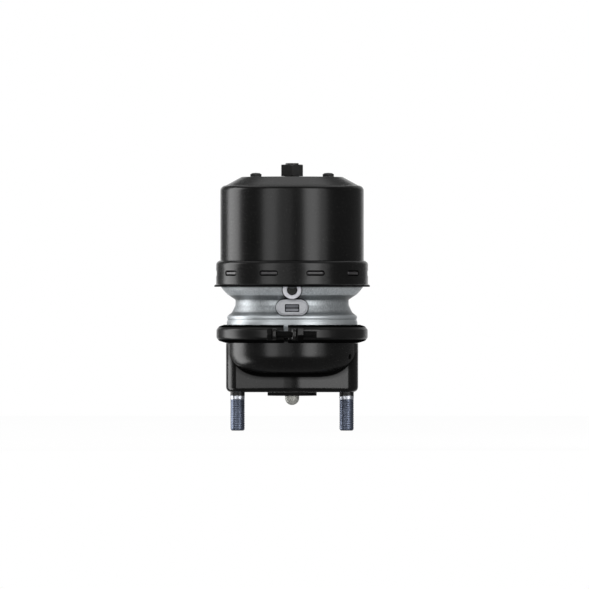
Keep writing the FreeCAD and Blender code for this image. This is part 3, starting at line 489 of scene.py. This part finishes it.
# Cast flange
# The die-cast aluminium body between the chambers, tumbled to a satin grain. Its round boss
# holds a polymer plug and its oval boss a vent; two port bosses stand behind.
WAIST = 62.6
BOSS_Z = 113.0
BOSS_FACE = 78.6
BOSS_RADIUS = 10.35
OVAL_Z = 93.6
OVAL_FACE = 71.6
PORTS = ((-18.0, 93.5, 71.6), (18.0, 109.0, 78.6))
PORT_RADIUS = 13.0
THREAD_RADIUS = 7.19
# the middle of the casting's wall round the bosses: heights and radii in mm
WALL_HEIGHTS = (106.5, 112.5, 118.0, 126.0)
WALL_RADII = (60.0, 72.4, 74.6, 74.9)
# painted shade: the casting's tone is darkened by height where its hollows and downward faces fall in
# shade: (height in mm, share of the tone)
SHADE_BANDS = (
    (66, 0.60), (73, 0.9), (79.6, 0.92), (80.5, 0.5), (81.4, 0.95), (84.5, 1.0),
    (86, 0.5), (88.5, 0.5), (91, 0.75), (99, 0.75), (101.5, 0.5), (103, 0.36),
    (106.4, 0.38), (107.8, 0.95), (114.8, 1.0), (116.0, 0.4), (118, 0.35),
)
# painted shade in a thin ring round the bosses' roots, on the front: (half width beyond the end arcs,
# height, arc radius) in mm
BOSS_ROOTS = ((0.0, BOSS_Z, 10.4), (8.7, OVAL_Z, 8.9))
cast_aluminium, cast_shader, cast_place = material("cast_aluminium")
cast_cloud = noise(cast_place, 30, detail=4)
cast_grain = noise(cast_place, 620, detail=3, roughness=0.6, stretch=(1.0, 1.0, 0.55))
cast_across = part_of(cast_place, "X")
cast_height = part_of(cast_place, "Z")
# the grain shows most from the waist upwards
tumbled = cast_height.clamped(0.0865, 0.0895)
cast_share = (cast_grain - 0.5) * (tumbled * 1.5 + 0.4) + (cast_cloud - 0.5) * 0.8 + 0.5
cast_tone = cast_share.clamped(0.0, 1.0).blend(rgb(166, 172, 176), rgb(224, 229, 232))
# the painted shade by height, wavering a little with the cloud
shade_ramp = cast_place.tree.nodes.new("ShaderNodeValToRGB")
low_end = SHADE_BANDS[0][0]
span = SHADE_BANDS[-1][0] - low_end
for i, (height, share) in enumerate(SHADE_BANDS):
    stop = shade_ramp.color_ramp.elements[i] if i < 2 else shade_ramp.color_ramp.elements.new(1.0)
    stop.position = (height - low_end) / span
    stop.color = (share, share, share, 1.0)
uneven = cast_height + (cast_cloud - 0.5) * 0.0012
cast_place.tree.links.new(uneven.clamped(low_end * MM, (low_end + span) * MM).socket, shade_ramp.inputs[0])
painted_shade = Wire(cast_place.tree, shade_ramp.outputs[0])
front = part_of(cast_place, "Y").math("LESS_THAN", 0.0)
# painted shade darkens the casting round each boss's root
for half, height, radius in BOSS_ROOTS:
    beyond = cast_across.math("ABSOLUTE").math("SUBTRACT", half * MM).math("MAXIMUM", 0.0)
    above = cast_height - height * MM
    far = (beyond * beyond + above * above).math("SQRT")
    root_shade = (1.0 - far.clamped(radius * MM + 0.0006, radius * MM + 0.0014)) * front
    painted_shade = painted_shade * (1.0 - root_shade * 0.75)
feed(cast_shader, Base_Color=painted_shade.blend((0, 0, 0, 1), cast_tone), Roughness=cast_grain * 0.14 + 0.36)
feed(cast_shader, Metallic=0.72 - cast_height.clamped(0.1066, 0.1078) * 0.3)
feed(cast_shader, Normal=bump(cast_place, cast_grain, 0.00008))
ring_aluminium = metal(
    "ring_aluminium", rgb(204, 204, 211), rgb(228, 228, 234), rough=0.34, grain=700, depth=0.00006,
    metallic=0.9,
)
# the oval boss is the round bosses' aluminium painted darker, as painted shade
oval_aluminium_shaded = metal(
    "oval_aluminium_shaded", rgb(176, 178, 182), rgb(206, 207, 211), rough=0.36, grain=700, depth=0.00006,
    metallic=0.9,
)
polymer = soft_black(
    "polymer", rgb(22, 23, 22), rgb(46, 48, 45), rough=0.5, grain=1100, depth=0.00012, gloss=0.3,
)
# the vent's two plates are one grey polymer: the upper is painted darker as shade, the lower lighter as
# painted light
vent_shaded_plate = soft_black(
    "vent_shaded_plate", rgb(78, 80, 86), rgb(98, 100, 106), rough=0.4, grain=1100, depth=0.00003,
)
vent_lit_plate = soft_black(
    "vent_lit_plate", rgb(100, 102, 107), rgb(124, 126, 131), rough=0.4, grain=1100, depth=0.00003,
)
flange_profile = round_corners([
    (67.5, 66.3),
    (80.6, 66.3),
    (80.6, 68.4),
    (74.9, 71.6),
    (72.2, 72.6, 1.5),
    (72.3, 77.4, 2.4),
    (71.2, 80.2, 1.0),
    (72.3, 83.6, 2.6),
    (67.0, 87.7, 0.3),
    (66.4, 88.4, 0.3),
    (WAIST, 96.3, 6.0),
    (WAIST, 102.1, 2.0),
    (71.8, 108.2, 0.8),
    (75.9, 112.6, 3.0),
    (78.9, 116.6, 1.0),
    (78.9, 118.0),
    (81.5, 118.0),
    (81.5, 121.0),
    (76.1, 121.0),
    (76.1, 122.5),
    (74.4, 122.5),
    (74.4, 125.2),
    (76.1, 125.2),
    (76.1, 126.5),
    (73.6, 126.5),
    (73.6, 118.0),
    (71.4, 112.5, 4.0),
    (59.6, 107.0, 3.0),
    (26.0, 107.0, 2.0),
    (26.0, 109.5),
    (17.3, 109.5),
    (17.3, 97.5),
    (57.6, 97.5, 5.0),
    (66.2, 79.6, 6.0),
])


def loft(loops):
    """Points and faces of a closed solid through loops with the same count of points; the
    first and last are closed to their centres."""
    ends = [np.broadcast_to(loops[i].mean(axis=0), loops[i].shape) for i in (0, -1)]
    points = np.array([ends[0], *loops, ends[1]])
    return points.reshape(-1, 3), wound(len(points), points.shape[1], closed_rows=False)


def rounded_loop(half_x, half_z, radius, steps=12):
    """A rounded rectangle as four quarter arcs about (+-(half_x - radius), +-(half_z - radius))."""
    t = np.linspace(0, np.pi / 2, steps)
    quarters = [t + k * np.pi / 2 for k in range(4)]
    sides = [(1, 1), (-1, 1), (-1, -1), (1, -1)]
    x = half_x - radius
    z = half_z - radius
    return np.concatenate([
        np.stack([sx * x + radius * np.cos(a), sz * z + radius * np.sin(a)], axis=-1)
        for a, (sx, sz) in zip(quarters, sides)
    ])


def facing(loop, out, across=0.0, up=0.0, side=-1):
    """A loop in (x, z) set upright at y = side * out and moved across and up."""
    return np.stack([loop[:, 0] + across, np.full(len(loop), side * out), loop[:, 1] + up], axis=-1)


def round_steps(steps, across, up, side=-1):
    """Round loops for (distance out, radius) steps along an axis that points to one side."""
    return [facing(rounded_loop(r, r, r), out, across, up, side) for out, r in steps]


def rooted(across, up, radius, side):
    """A boss's inner end: two loops whose points lie inside the casting's wall at their height,
    so that nothing stands in the piston's chamber."""
    loops = []
    for loop in round_steps(((0.0, 0.1), (0.0, radius)), across, up):
        wall = np.interp(loop[:, 2], WALL_HEIGHTS, WALL_RADII)
        loop[:, 1] = side * np.sqrt(wall ** 2 - loop[:, 0] ** 2)
        loops.append(loop)
    return loops


boss_steps = (
    (BOSS_FACE - 0.5, BOSS_RADIUS),
    (BOSS_FACE, BOSS_RADIUS - 0.5),
    (BOSS_FACE, 6.1),
    (BOSS_FACE - 0.5, 5.6),
    (69.0, 5.6),
)
round_boss = loft(rooted(0, BOSS_Z, BOSS_RADIUS, -1) + round_steps(boss_steps, 0, BOSS_Z))
oval_loops = [
    (rounded_loop(17.5, 8.85, 8.8), 52.0, 0),
    (rounded_loop(17.5, 8.85, 8.8), OVAL_FACE - 1.9, 0),
    (rounded_loop(17.0, 8.35, 8.3), OVAL_FACE - 1.4, 0),
    (rounded_loop(15.9, 7.55, 7.5), OVAL_FACE - 1.4, 0),
    (rounded_loop(15.6, 7.25, 7.2), OVAL_FACE - 0.3, 0),
    (rounded_loop(15.3, 6.95, 6.9), OVAL_FACE, 0),
    (rounded_loop(7.95, 4.35, 1.0), OVAL_FACE, -0.6),
    (rounded_loop(7.95, 4.35, 1.0), OVAL_FACE - 5.0, -0.6),
]
oval_boss = loft([facing(loop, out, 0, OVAL_Z + lift) for loop, out, lift in oval_loops])
port_bosses = []
for across, up, face in PORTS:
    port_steps = (
        (face - 0.6, PORT_RADIUS),
        (face, PORT_RADIUS - 0.6),
        (face, 7.9),
        (face - 0.7, THREAD_RADIUS),
        (face - 7.0, THREAD_RADIUS),
    )
    outer = round_steps(port_steps, across, up, side=1)
    port_bosses.append(loft(rooted(across, up, PORT_RADIUS, 1) + outer))
FLANGE = ("cast_aluminium", "housing", ["intermediate_flange"])
piece("flange_casting", *revolved(flange_profile), cast_aluminium, *FLANGE, smooth=28)
piece("round_bosses", *together(round_boss, *port_bosses), ring_aluminium, *FLANGE, smooth=28)
piece("oval_boss", *oval_boss, oval_aluminium_shaded, *FLANGE, smooth=28)
plug_steps = ((69.8, 5.5), (77.2, 5.5), (77.8, 4.9), (77.8, 3.2), (77.4, 2.8))
plug_shape = loft(round_steps(plug_steps, 0, BOSS_Z))
piece("plug_look", *plug_shape, polymer, "dark_polymer", "housing", ["port_plug"])


def vent_bar(half, up):
    """A bar across the oval boss's window, half its height and bevelled in front."""
    return loft([
        facing(rounded_loop(a, half, 0.6), out, 0, OVAL_Z + up)
        for out, a in ((66.8, 7.1), (69.6, 7.1), (69.9, 6.9))
    ])


piece("vent_top", *vent_bar(1.5, 1.45), vent_shaded_plate, "dark_polymer", "housing", ["vent_insert"])
piece("vent_bottom", *vent_bar(1.4, -2.6), vent_lit_plate, "dark_polymer", "housing", ["vent_insert"])
# painted shade: a black back seen round and between the vent's plates
vent_shadow_back = loft([facing(rounded_loop(7.9, 4.3, 1.0), out, 0, OVAL_Z - 0.6) for out in (66.5, 68.6)])
piece("vent_shadow_back", *vent_shadow_back, shadow_black, "dark_polymer", "housing", ["vent_insert"])

# Clamp
# A split V-band of pressed steel in black paint that holds the bowl to the flange. Its two
# rounded lugs are drawn together by a dull M8 bolt with a head, a washer and a nut.
BOLT_Y = -91.7
BOLT_Z = 64.0
BOLT_AT = (0, BOLT_Y, BOLT_Z)
BOLT_FLATS = 13.0
HEAD_END = -27.7
HEAD_FACE = -22.6
BOLT_END = 27.1
NUT_FACE = 6.5
NUT_END = 12.3
LUG_PLACES = (-19.8, 2.4)
LUG_REACH = 97.7
LUG_ROOT = 78.0
LUG_HALF = (2.8, 6.5)
LUG_ROUND = 5.2
ALONG_X = ((0, 0, 1), (1, 0, 0), (0, 1, 0))
# the band's edges, 52 to 58.2 mm and 71.4 to 76 mm, are painted black and dull as shade
band_paint = black_paint(
    "band_paint", rgb(10, 10, 10), rgb(16, 16, 16), rough=0.26, peel=0.00003,
    shaded_lips=((52.0, 58.2), (71.4, 76.0)),
)
lug_paint = black_paint("lug_paint", rgb(8, 8, 8), rgb(16, 15, 14), rough=0.24, peel=0.00006, gloss=0.5)
# the bolt and washer are black, and their dull near-black also stands in as painted shade between the lugs
bolt_black_and_shade = black_paint("bolt_black_and_shade", rgb(5, 5, 5), rgb(12, 12, 12), rough=0.55, peel=0.00004, gloss=0.15)
# the nut's upper facet is painted light and, below 63.2 mm, its lower facet is painted black as shade
nut_lit_and_shaded = black_paint(
    "nut_lit_and_shaded", rgb(40, 40, 40), rgb(70, 70, 70), rough=0.26, peel=0.00004, shaded_lips=((50.0, 63.2),),
)


def lug(across):
    """A rounded bar: at height z its front is drawn back along an arc of LUG_ROUND at both ends."""
    loops = []
    for up in LUG_HALF[1] * np.sin(np.linspace(-np.pi / 2, np.pi / 2, 17)):
        past = max(0.0, abs(up) - (LUG_HALF[1] - LUG_ROUND))
        front = LUG_REACH - LUG_ROUND + math.sqrt(max(LUG_ROUND ** 2 - past ** 2, 0.0))
        section = round_corners([
            (across - LUG_HALF[0], -LUG_ROOT),
            (across - LUG_HALF[0], -front, 2.6),
            (across + LUG_HALF[0], -front, 2.6),
            (across + LUG_HALF[0], -LUG_ROOT),
        ], steps=9)
        loops.append(np.concatenate([section, np.full((len(section), 1), BOLT_Z + up)], axis=1))
    return loft(loops)


def threaded(radius, depth, pitch, low, high, start, bevel, columns=40, per_turn=10):
    """Points and faces of a threaded rod on Z. Its radius is the crest less depth times a
    rounded saw of (height / pitch - angle / turn), plain above start, and cut back by
    a bevel at the low end."""
    t = np.linspace(0, 2 * np.pi, columns, endpoint=False)
    z = np.linspace(low, high, int((high - low) / pitch * per_turn))[:, None]
    wave = np.abs(((z / pitch - t / (2 * np.pi)) % 1.0) * 2 - 1)
    groove = depth * np.clip(wave * 1.3 - 0.15, 0, 1)
    fade = np.clip((start - z) / pitch, 0, 1)
    r = np.minimum(radius - groove * fade, radius - bevel + (z - low))
    body = np.stack([r * np.cos(t), r * np.sin(t), z + 0 * t], axis=-1)
    caps = [np.stack([0 * t, 0 * t, end + 0 * t], axis=-1)[None] for end in (low, high)]
    points = np.concatenate([caps[0], body, caps[1]])
    return points.reshape(-1, 3), wound(len(points), columns, closed_rows=False)


merged("clamp_band", band_paint, smooth=40)
lug_shape = together(*(lug(across) for across in LUG_PLACES))
piece("lugs_look", *lug_shape, lug_paint, "black_paint", "housing", ["clamp_lugs"], smooth=50)
bolt_shape = together(
    placed(hexagon(BOLT_FLATS, HEAD_END, HEAD_FACE, bevels=(1.0, 0.0), turn=30), BOLT_AT, ALONG_X),
    placed(
        threaded(radius=4.0, depth=0.55, pitch=1.25, low=HEAD_FACE, high=BOLT_END, start=30.0, bevel=0.0),
        BOLT_AT, ALONG_X,
    ),
)
piece("clamp_bolt_look", *bolt_shape, bolt_black_and_shade, "black_fastener", "housing", ["clamp_bolt"])
nut_shape = placed(hexagon(BOLT_FLATS, NUT_FACE, NUT_END, bevels=(0.0, 0.6), turn=30), BOLT_AT, ALONG_X)
piece("clamp_nut_look", *nut_shape, nut_lit_and_shaded, "black_fastener", "housing", ["clamp_nut"], smooth=25)
merged("clamp_washer", bolt_black_and_shade)

# Service housing
# The black-painted casting of the service chamber: a foot with ridged long sides and round
# pillars at the studs, and a turned bowl that meets it in a hollow root. Two holes drain it.
FOOT_HALF = 73.05
FOOT_RIDGE = 44.2
FOOT_TOP = 53.5
FOOT_EDGE = 5.6
ROOT = 4.5
BOWL_OUT = 72.9
BOWL_BASE = 20.5
CORNER = 23.0
JOINT_FACE = 62.9
SEAL_SEAT = 27.2
WEB_END = (61.7, 29.9, 2.0)
PILLAR = (FOOT_HALF, 23.35, 22.0)
DRAIN_Z = 39.4
DRAIN_RADIUS = 3.15
DRAIN_DEPTH = 4.0
DRAIN_TURNS = (61.84, 241.84)
cast_paint = black_paint("cast_paint", rgb(6, 6, 6), rgb(11, 11, 11), rough=0.22, peel=0.00004, gloss=0.40)
foot_plan = round_corners([
    (PILLAR[0], -PILLAR[1], PILLAR[2]),
    PILLAR,
    WEB_END,
    (0.0, FOOT_RIDGE, 45.0),
    (-WEB_END[0], *WEB_END[1:]),
    (-PILLAR[0], *PILLAR[1:]),
    (-PILLAR[0], -PILLAR[1], PILLAR[2]),
    (-WEB_END[0], -WEB_END[1], WEB_END[2]),
    (0.0, -FOOT_RIDGE, 45.0),
    (WEB_END[0], -WEB_END[1], WEB_END[2]),
], steps=40)


def reach(outline, angles):
    """Distance from the axis to a closed outline at each angle. Between two outline points at
    angles a and b it is the straight line's distance."""
    following = np.roll(outline, -1, axis=0)
    along = following - outline
    at = np.stack([np.cos(angles), np.sin(angles)], axis=-1)
    cross = along[:, 0] * at[:, None, 1] - along[:, 1] * at[:, None, 0]
    cross = np.where(np.abs(cross) < 1e-12, 1e-12, cross)
    far = (outline[:, 1] * along[:, 0] - outline[:, 0] * along[:, 1]) / cross
    share = (outline[:, 1] * at[:, None, 0] - outline[:, 0] * at[:, None, 1]) / cross
    hit = (far > 0) & (share >= -1e-9) & (share <= 1 + 1e-9)
    return np.where(hit, far, 0).max(axis=1)


spin = np.linspace(0, 2 * np.pi, 640, endpoint=False)
side = reach(foot_plan, spin)
# past the bowl's wall the foot stands proud by this much, eased over 1 mm
over = side - BOWL_OUT
proud = np.maximum(over, 0) + np.clip(1 - np.abs(over), 0, None) ** 2 / 4
wall_in = np.minimum(side, BOWL_OUT)
corner_at = np.array([BOWL_OUT - CORNER, BOWL_BASE + CORNER])
root_r = wall_in + ROOT
past = np.clip(root_r - corner_at[0], 0, CORNER + ROOT)
root_z = corner_at[1] - np.sqrt((CORNER + ROOT) ** 2 - past ** 2)
meet = np.arctan2(corner_at[1] - root_z, -past)

# at each angle the upright section runs up the foot's side, through the hollow root into the
# bowl's round corner and wall, over the rim and back through the bore
rows = [(SEAL_SEAT + 0 * spin, 0 * spin)]
for turn in np.linspace(0, np.pi / 2, 8):
    rows.append((side - FOOT_EDGE * (1 - math.sin(turn)), FOOT_EDGE * (1 - math.cos(turn)) + 0 * spin))
for share in np.linspace(0, 1, 8)[1:]:
    rows.append((side, FOOT_EDGE + (root_z - FOOT_EDGE) * share))
shade_from = len(rows) - 2
for share in np.linspace(0, 1, 12)[1:]:
    a = np.pi + (meet - np.pi) * share
    r = root_r + ROOT * np.cos(a) + proud * share + (side - wall_in) * (1 - share)
    rows.append((r, root_z + ROOT * np.sin(a)))
shade_to = len(rows) + 1
for share in np.linspace(0, 1, 50)[1:]:
    a = (meet - np.pi) * (1 - share)
    start = corner_at[0] - (past <= 0) * (corner_at[0] - root_r) * (1 - share) ** 8
    rows.append((start + CORNER * np.cos(a) + proud, corner_at[1] + CORNER * np.sin(a)))
for z in (47.0, 50.0, FOOT_TOP):
    rows.append((BOWL_OUT + proud, z + 0 * spin))
inner_profile = round_corners([
    (BOWL_OUT, FOOT_TOP),
    (BOWL_OUT, 56.0, 1.0),
    (74.9, 57.6),
    (80.6, 60.8),
    (80.6, JOINT_FACE),
    (69.1, JOINT_FACE),
    (69.1, 27.0, 16.5),
    (12.0, 27.0),
    (12.0, 18.0),
    (23.5, 18.0),
    (23.5, 3.0),
    (SEAL_SEAT, 3.0),
])
rows += [(r + 0 * spin, z + 0 * spin) for r, z in inner_profile]
grid = np.array([np.stack([r * np.cos(spin), r * np.sin(spin), z], axis=-1) for r, z in rows])

# two drain holes: points near a hole's edge move onto it, and those within it move inwards
snap = 0.4
for turn in DRAIN_TURNS:
    axis = np.array([math.sin(math.radians(turn)), -math.cos(math.radians(turn)), 0.0])
    across = np.cross(axis, (0, 0, 1.0))
    u = grid @ across
    v = grid[..., 2] - DRAIN_Z
    far = np.hypot(u, v)
    outside = np.arange(len(grid))[:, None] < len(rows) - len(inner_profile)
    near = outside & (grid @ axis > 0) & (far < DRAIN_RADIUS + snap)
    edge = near & (far > DRAIN_RADIUS - snap)
    stretch = np.where(edge, DRAIN_RADIUS / np.maximum(far, 1e-6) - 1, 0)
    grid += (stretch * u)[..., None] * across + (stretch * v)[..., None] * np.array([0, 0, 1.0])
    grid -= (near & ~edge)[..., None] * axis * DRAIN_DEPTH
# painted shade: the root between foot and bowl is painted black and dull, most of all in its middle
painted_dark = np.zeros(grid.shape[:2])
fade = np.linspace(0.15, np.pi - 0.15, shade_to - shade_from)
painted_dark[shade_from:shade_to] = np.sin(fade)[:, None] ** 0.7
housing_shape = grid.reshape(-1, 3), wound(len(grid), len(spin))
piece(
    "housing_casting", *housing_shape, cast_paint, "black_paint", "housing", ["service_housing"],
    smooth=38, painted_shade=painted_dark,
)

# Mounting studs
# Two M16 studs of zinc-plated steel, 120.65 mm apart, screwed into the foot. The zinc is bluish
# on the rolled thread, with a bright ring above it and black paint run down to an uneven edge.
STUD_X = 60.325
STUD_END = -42.7
STUD_CORE = 7.4
STUD_SET = 20.0
# heights in metres along the stud
PAINT_EDGE = -4.6 * MM
BRIGHT_END = -8.2 * MM
stud_zinc, stud_shader, stud_place = material("stud_zinc")
stud_cloud = noise(stud_place, 160, detail=4)
stud_height = part_of(stud_place, "Z") + (stud_cloud - 0.5) * 0.006
painted = stud_height.clamped(PAINT_EDGE - 0.0003, PAINT_EDGE + 0.0003)
above_thread = part_of(stud_place, "Z").clamped(BRIGHT_END - 0.0004, BRIGHT_END + 0.0004)
zinc_tone = stud_cloud.clamped(0.3, 0.7).blend(rgb(106, 114, 132), rgb(124, 132, 150))
bare_tone = above_thread.blend(zinc_tone, rgb(214, 218, 226))
feed(stud_shader, Base_Color=painted.blend(bare_tone, rgb(22, 22, 22)))
feed(stud_shader, Metallic=1.0 - painted)
feed(stud_shader, Roughness=stud_cloud * 0.06 + 0.38)
feed(stud_shader, Normal=bump(stud_place, noise(stud_place, 300, detail=2), 0.00001))
stud = threaded(
    radius=7.95, depth=0.36, pitch=2.0, low=STUD_END, high=0.0, start=-6.5, bevel=1.5,
    columns=96, per_turn=16,
)
root = revolved(np.array([(0.0, 0.0), (STUD_CORE, 0.0), (STUD_CORE, STUD_SET), (0.0, STUD_SET)]), 40)
stud_shape = together(*(
    placed(shape, (side * STUD_X, 0, 0)) for side in (-1, 1) for shape in (stud, root)
))
piece("studs_look", *stud_shape, stud_zinc, "zinc_steel", "housing", ["mounting_studs"], smooth=50)

# Push rod and the parts inside
# The ball-ended rod of satin steel runs through the rubber face seal. Inside are its plate, the
# parking-brake piston and tube, rubber seals, polymer bushes and the release bolt's race.
rod_satin = metal(
    "rod_satin", rgb(196, 196, 190), rgb(214, 214, 208), rough=0.42, grain=900, depth=0.00003,
    metallic=0.55,
)
spring_wire = metal(
    "spring_wire", rgb(52, 52, 54), rgb(78, 78, 80), rough=0.35, grain=500, depth=0.00003,
    metallic=0.7,
)
rubber = soft_black(
    "rubber", rgb(8, 8, 8), rgb(16, 16, 16), rough=0.62, grain=1500, depth=0.00006, gloss=0.25,
)
merged("push_rod", rod_satin, "pushrod", smooth=40)
merged("face_seal", rubber)
for node, finish, slot, body in (
    ("push_plate", turned_steel, "bright_steel", "pushrod"),
    ("plate_hub", turned_steel, "bright_steel", "pushrod"),
    ("rod_guide", polymer, "dark_polymer", "housing"),
    ("tube_guide_bush", polymer, "dark_polymer", "housing"),
    ("tube_seal", rubber, "black_rubber", "housing"),
    ("tube_wiper", rubber, "black_rubber", "housing"),
    ("housing_seal", rubber, "black_rubber", "housing"),
    ("spring_seat", polymer, "dark_polymer", "housing"),
    ("spring_piston", cast_aluminium, "cast_aluminium", "spring_piston"),
    ("piston_seal", rubber, "black_rubber", "spring_piston"),
    ("piston_guide_ring", polymer, "dark_polymer", "spring_piston"),
    ("piston_tube", turned_steel, "bright_steel", "spring_piston"),
    ("tube_end_plug", turned_steel, "bright_steel", "spring_piston"),
    ("catch_collar", turned_steel, "bright_steel", "spring_piston"),
    ("collar_circlip", spring_wire, "spring_steel", "spring_piston"),
    ("thrust_race", turned_steel, "bright_steel", "release_carrier"),
):
    merged(node, finish, body, smooth=40)

# Springs, diaphragm and boot
# Coil springs of dark wire, the moulded rubber hat between the chambers and the folded boot.
# Each is held by the housing at one end and by what moves at the other; here each is drawn as its CAD mesh.
for node, finish, slot, mover, fixed_end, moving_end in (
    ("power_spring", spring_wire, "spring_steel", "spring_piston", 232.4, 175.0),
    ("return_spring", spring_wire, "spring_steel", "pushrod", 27.0, 87.2),
    ("diaphragm", rubber, "black_rubber", "pushrod", 66.0, 91.0),
    ("dust_boot", rubber, "black_rubber", "pushrod", 16.0, -1.0),
):
    look = merged(node, finish, None, smooth=50)
    fixed_end * MM
    moving_end * MM
    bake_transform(look)

# Floor
# A pale board under the stud ends. The camera sees it as white as the background, and it
# throws soft light up under the foot.
FLOOR = -0.0432
FLOOR_HALF = 1.5
BOARD_GLOW = 0.97
corners = [(FLOOR_HALF * x, FLOOR_HALF * y, FLOOR) for x, y in ((-1, -1), (1, -1), (1, 1), (-1, 1))]
floor_mesh = bpy.data.meshes.new("floor")
floor_mesh.from_pydata(corners, [], [(0, 1, 2, 3)])
floor = bpy.data.objects.new("floor", floor_mesh)
bpy.context.scene.collection.objects.link(floor)


def background_rays(tree):
    """1 on the rays that show the background: the camera's, and those by way of metal or glass."""
    path = tree.nodes.new("ShaderNodeLightPath")
    camera_ray, glossy, through = (
        Wire(tree, path.outputs[name]) for name in ("Is Camera Ray", "Is Glossy Ray", "Is Transmission Ray")
    )
    return (camera_ray + glossy + through).clamped(0.0, 1.0)


board, board_shader, _ = material("board")
feed(board_shader, Base_Color=(0.9, 0.9, 0.9, 1.0), Roughness=0.9)
glow = board.node_tree.nodes.new("ShaderNodeEmission")
glow.inputs["Color"].default_value = (1, 1, 1, 1)
glow.inputs["Strength"].default_value = 1.0
mix = board.node_tree.nodes.new("ShaderNodeMixShader")
seen = background_rays(board.node_tree) * BOARD_GLOW
board.node_tree.links.new(seen.socket, mix.inputs[0])
board.node_tree.links.new(board_shader.outputs[0], mix.inputs[1])
board.node_tree.links.new(glow.outputs[0], mix.inputs[2])
board.node_tree.links.new(mix.outputs[0], board.node_tree.nodes["Material Output"].inputs[0])
floor_mesh.materials.append(board)
# the photograph's black paint reflects tall lights and a dark room below them, and no floor
floor.visible_glossy = False

# Dark tent
# A sphere of dark cloth that only reflections see, open at the back, where they see the
# background. It stands for the dark room that the black paint reflects.
TENT_RADIUS = 3.6
TENT_OPEN = 24
TENT_TONE = 0.15
TENT_ROWS = 30
TENT_COLUMNS = 48
from_back = np.radians(np.linspace(TENT_OPEN, 179.9, TENT_ROWS))[:, None]
round_back = np.linspace(0, 2 * np.pi, TENT_COLUMNS, endpoint=False)
tent_grid = TENT_RADIUS * np.stack([
    np.sin(from_back) * np.cos(round_back),
    np.cos(from_back) + 0 * round_back,
    np.sin(from_back) * np.sin(round_back),
], axis=-1)
tent_faces = wound(TENT_ROWS, TENT_COLUMNS, closed_rows=False)
tent_mesh = bpy.data.meshes.new("dark_tent")
tent_mesh.from_pydata(tent_grid.reshape(-1, 3).tolist(), [], tent_faces.tolist())
tent = bpy.data.objects.new("dark_tent", tent_mesh)
bpy.context.scene.collection.objects.link(tent)
tent.visible_camera = False
tent.visible_diffuse = False
tent.visible_shadow = False
tent.visible_transmission = False
cloth = bpy.data.materials.new("dark_cloth")
cloth.use_nodes = True
cloth_glow = cloth.node_tree.nodes.new("ShaderNodeEmission")
cloth_glow.inputs["Color"].default_value = (TENT_TONE, TENT_TONE, TENT_TONE, 1)
cloth.node_tree.links.new(cloth_glow.outputs[0], cloth.node_tree.nodes["Material Output"].inputs[0])
tent_mesh.materials.append(cloth)

# Lamps
# Upright soft boxes round the object, placed by compass angle from the camera, and one above.
# The bright bands on the pot, the ring and the bowl are their reflections.
BOX_DISTANCE = 1.4
FRONT_HEIGHT = 1.67
FRONT_LIFT = 0.365
OBJECT_MIDDLE = 0.11


def soft_box(name, angle, width, height, distance, level, lift=0.1):
    """An area lamp at that angle from the camera, facing the axis. Its power is the wanted
    level times its area times pi."""
    lamp = bpy.data.lights.new(name, "AREA")
    lamp.shape = "RECTANGLE"
    lamp.size = width
    lamp.size_y = height
    lamp.energy = level * width * height * math.pi
    made = bpy.data.objects.new(name, lamp)
    a = math.radians(angle)
    made.location = (distance * math.sin(a), -distance * math.cos(a), lift)
    towards = Vector((0, 0, OBJECT_MIDDLE)) - made.location
    made.rotation_euler = towards.to_track_quat("-Z", "Y").to_euler()
    made.visible_camera = False
    bpy.context.scene.collection.objects.link(made)
    return made


soft_box("left_rear_box", -107, 0.78, 2.0, BOX_DISTANCE, level=3.9)
soft_box("left_box", -35, 0.56, FRONT_HEIGHT, BOX_DISTANCE, level=2.2, lift=FRONT_LIFT)
soft_box("left_inner_box", -12, 0.58, FRONT_HEIGHT, BOX_DISTANCE, level=0.7, lift=FRONT_LIFT)
soft_box("right_box", 31, 0.58, FRONT_HEIGHT, BOX_DISTANCE, level=3.7, lift=FRONT_LIFT)
soft_box("right_outer_box", 50, 0.30, FRONT_HEIGHT, BOX_DISTANCE, level=1.3, lift=FRONT_LIFT)
soft_box("right_rear_box", 150, 0.24, 2.2, BOX_DISTANCE, level=0.35)
soft_box("top_box", 180, 2.0, 1.6, 0.4, level=0.8, lift=1.6)

# the world is white where the camera or metal shows it, and otherwise gives little light
AMBIENT = 0.17
world = bpy.data.worlds.new("studio")
bpy.context.scene.world = world
world.use_nodes = True
tree = world.node_tree
background = tree.nodes["Background"]
sky = background_rays(tree)
shade = sky.blend((AMBIENT, AMBIENT, AMBIENT, 1.0), (1.0, 1.0, 1.0, 1.0))
tree.links.new(shade.socket, background.inputs["Color"])

# Camera
# A long lens level with the middle of the part, as the photograph was taken. The picture is
# 0.652 m wide at the part, which leaves white margins all round.
DISTANCE = 12.0
FRAME_WIDTH = 0.652
SENSOR = 36.0
ACROSS = 0.00266
LEVEL = 0.1079
camera_data = bpy.data.cameras.new("camera")
camera_data.sensor_width = SENSOR
camera_data.lens = SENSOR * DISTANCE / FRAME_WIDTH
camera_data.clip_end = 100.0
camera = bpy.data.objects.new("camera", camera_data)
camera.location = (ACROSS, -DISTANCE, LEVEL)
camera.rotation_euler = (math.radians(90), 0, 0)
bpy.context.scene.collection.objects.link(camera)
bpy.context.scene.camera = camera
bpy.context.scene.view_settings.view_transform = "Standard"
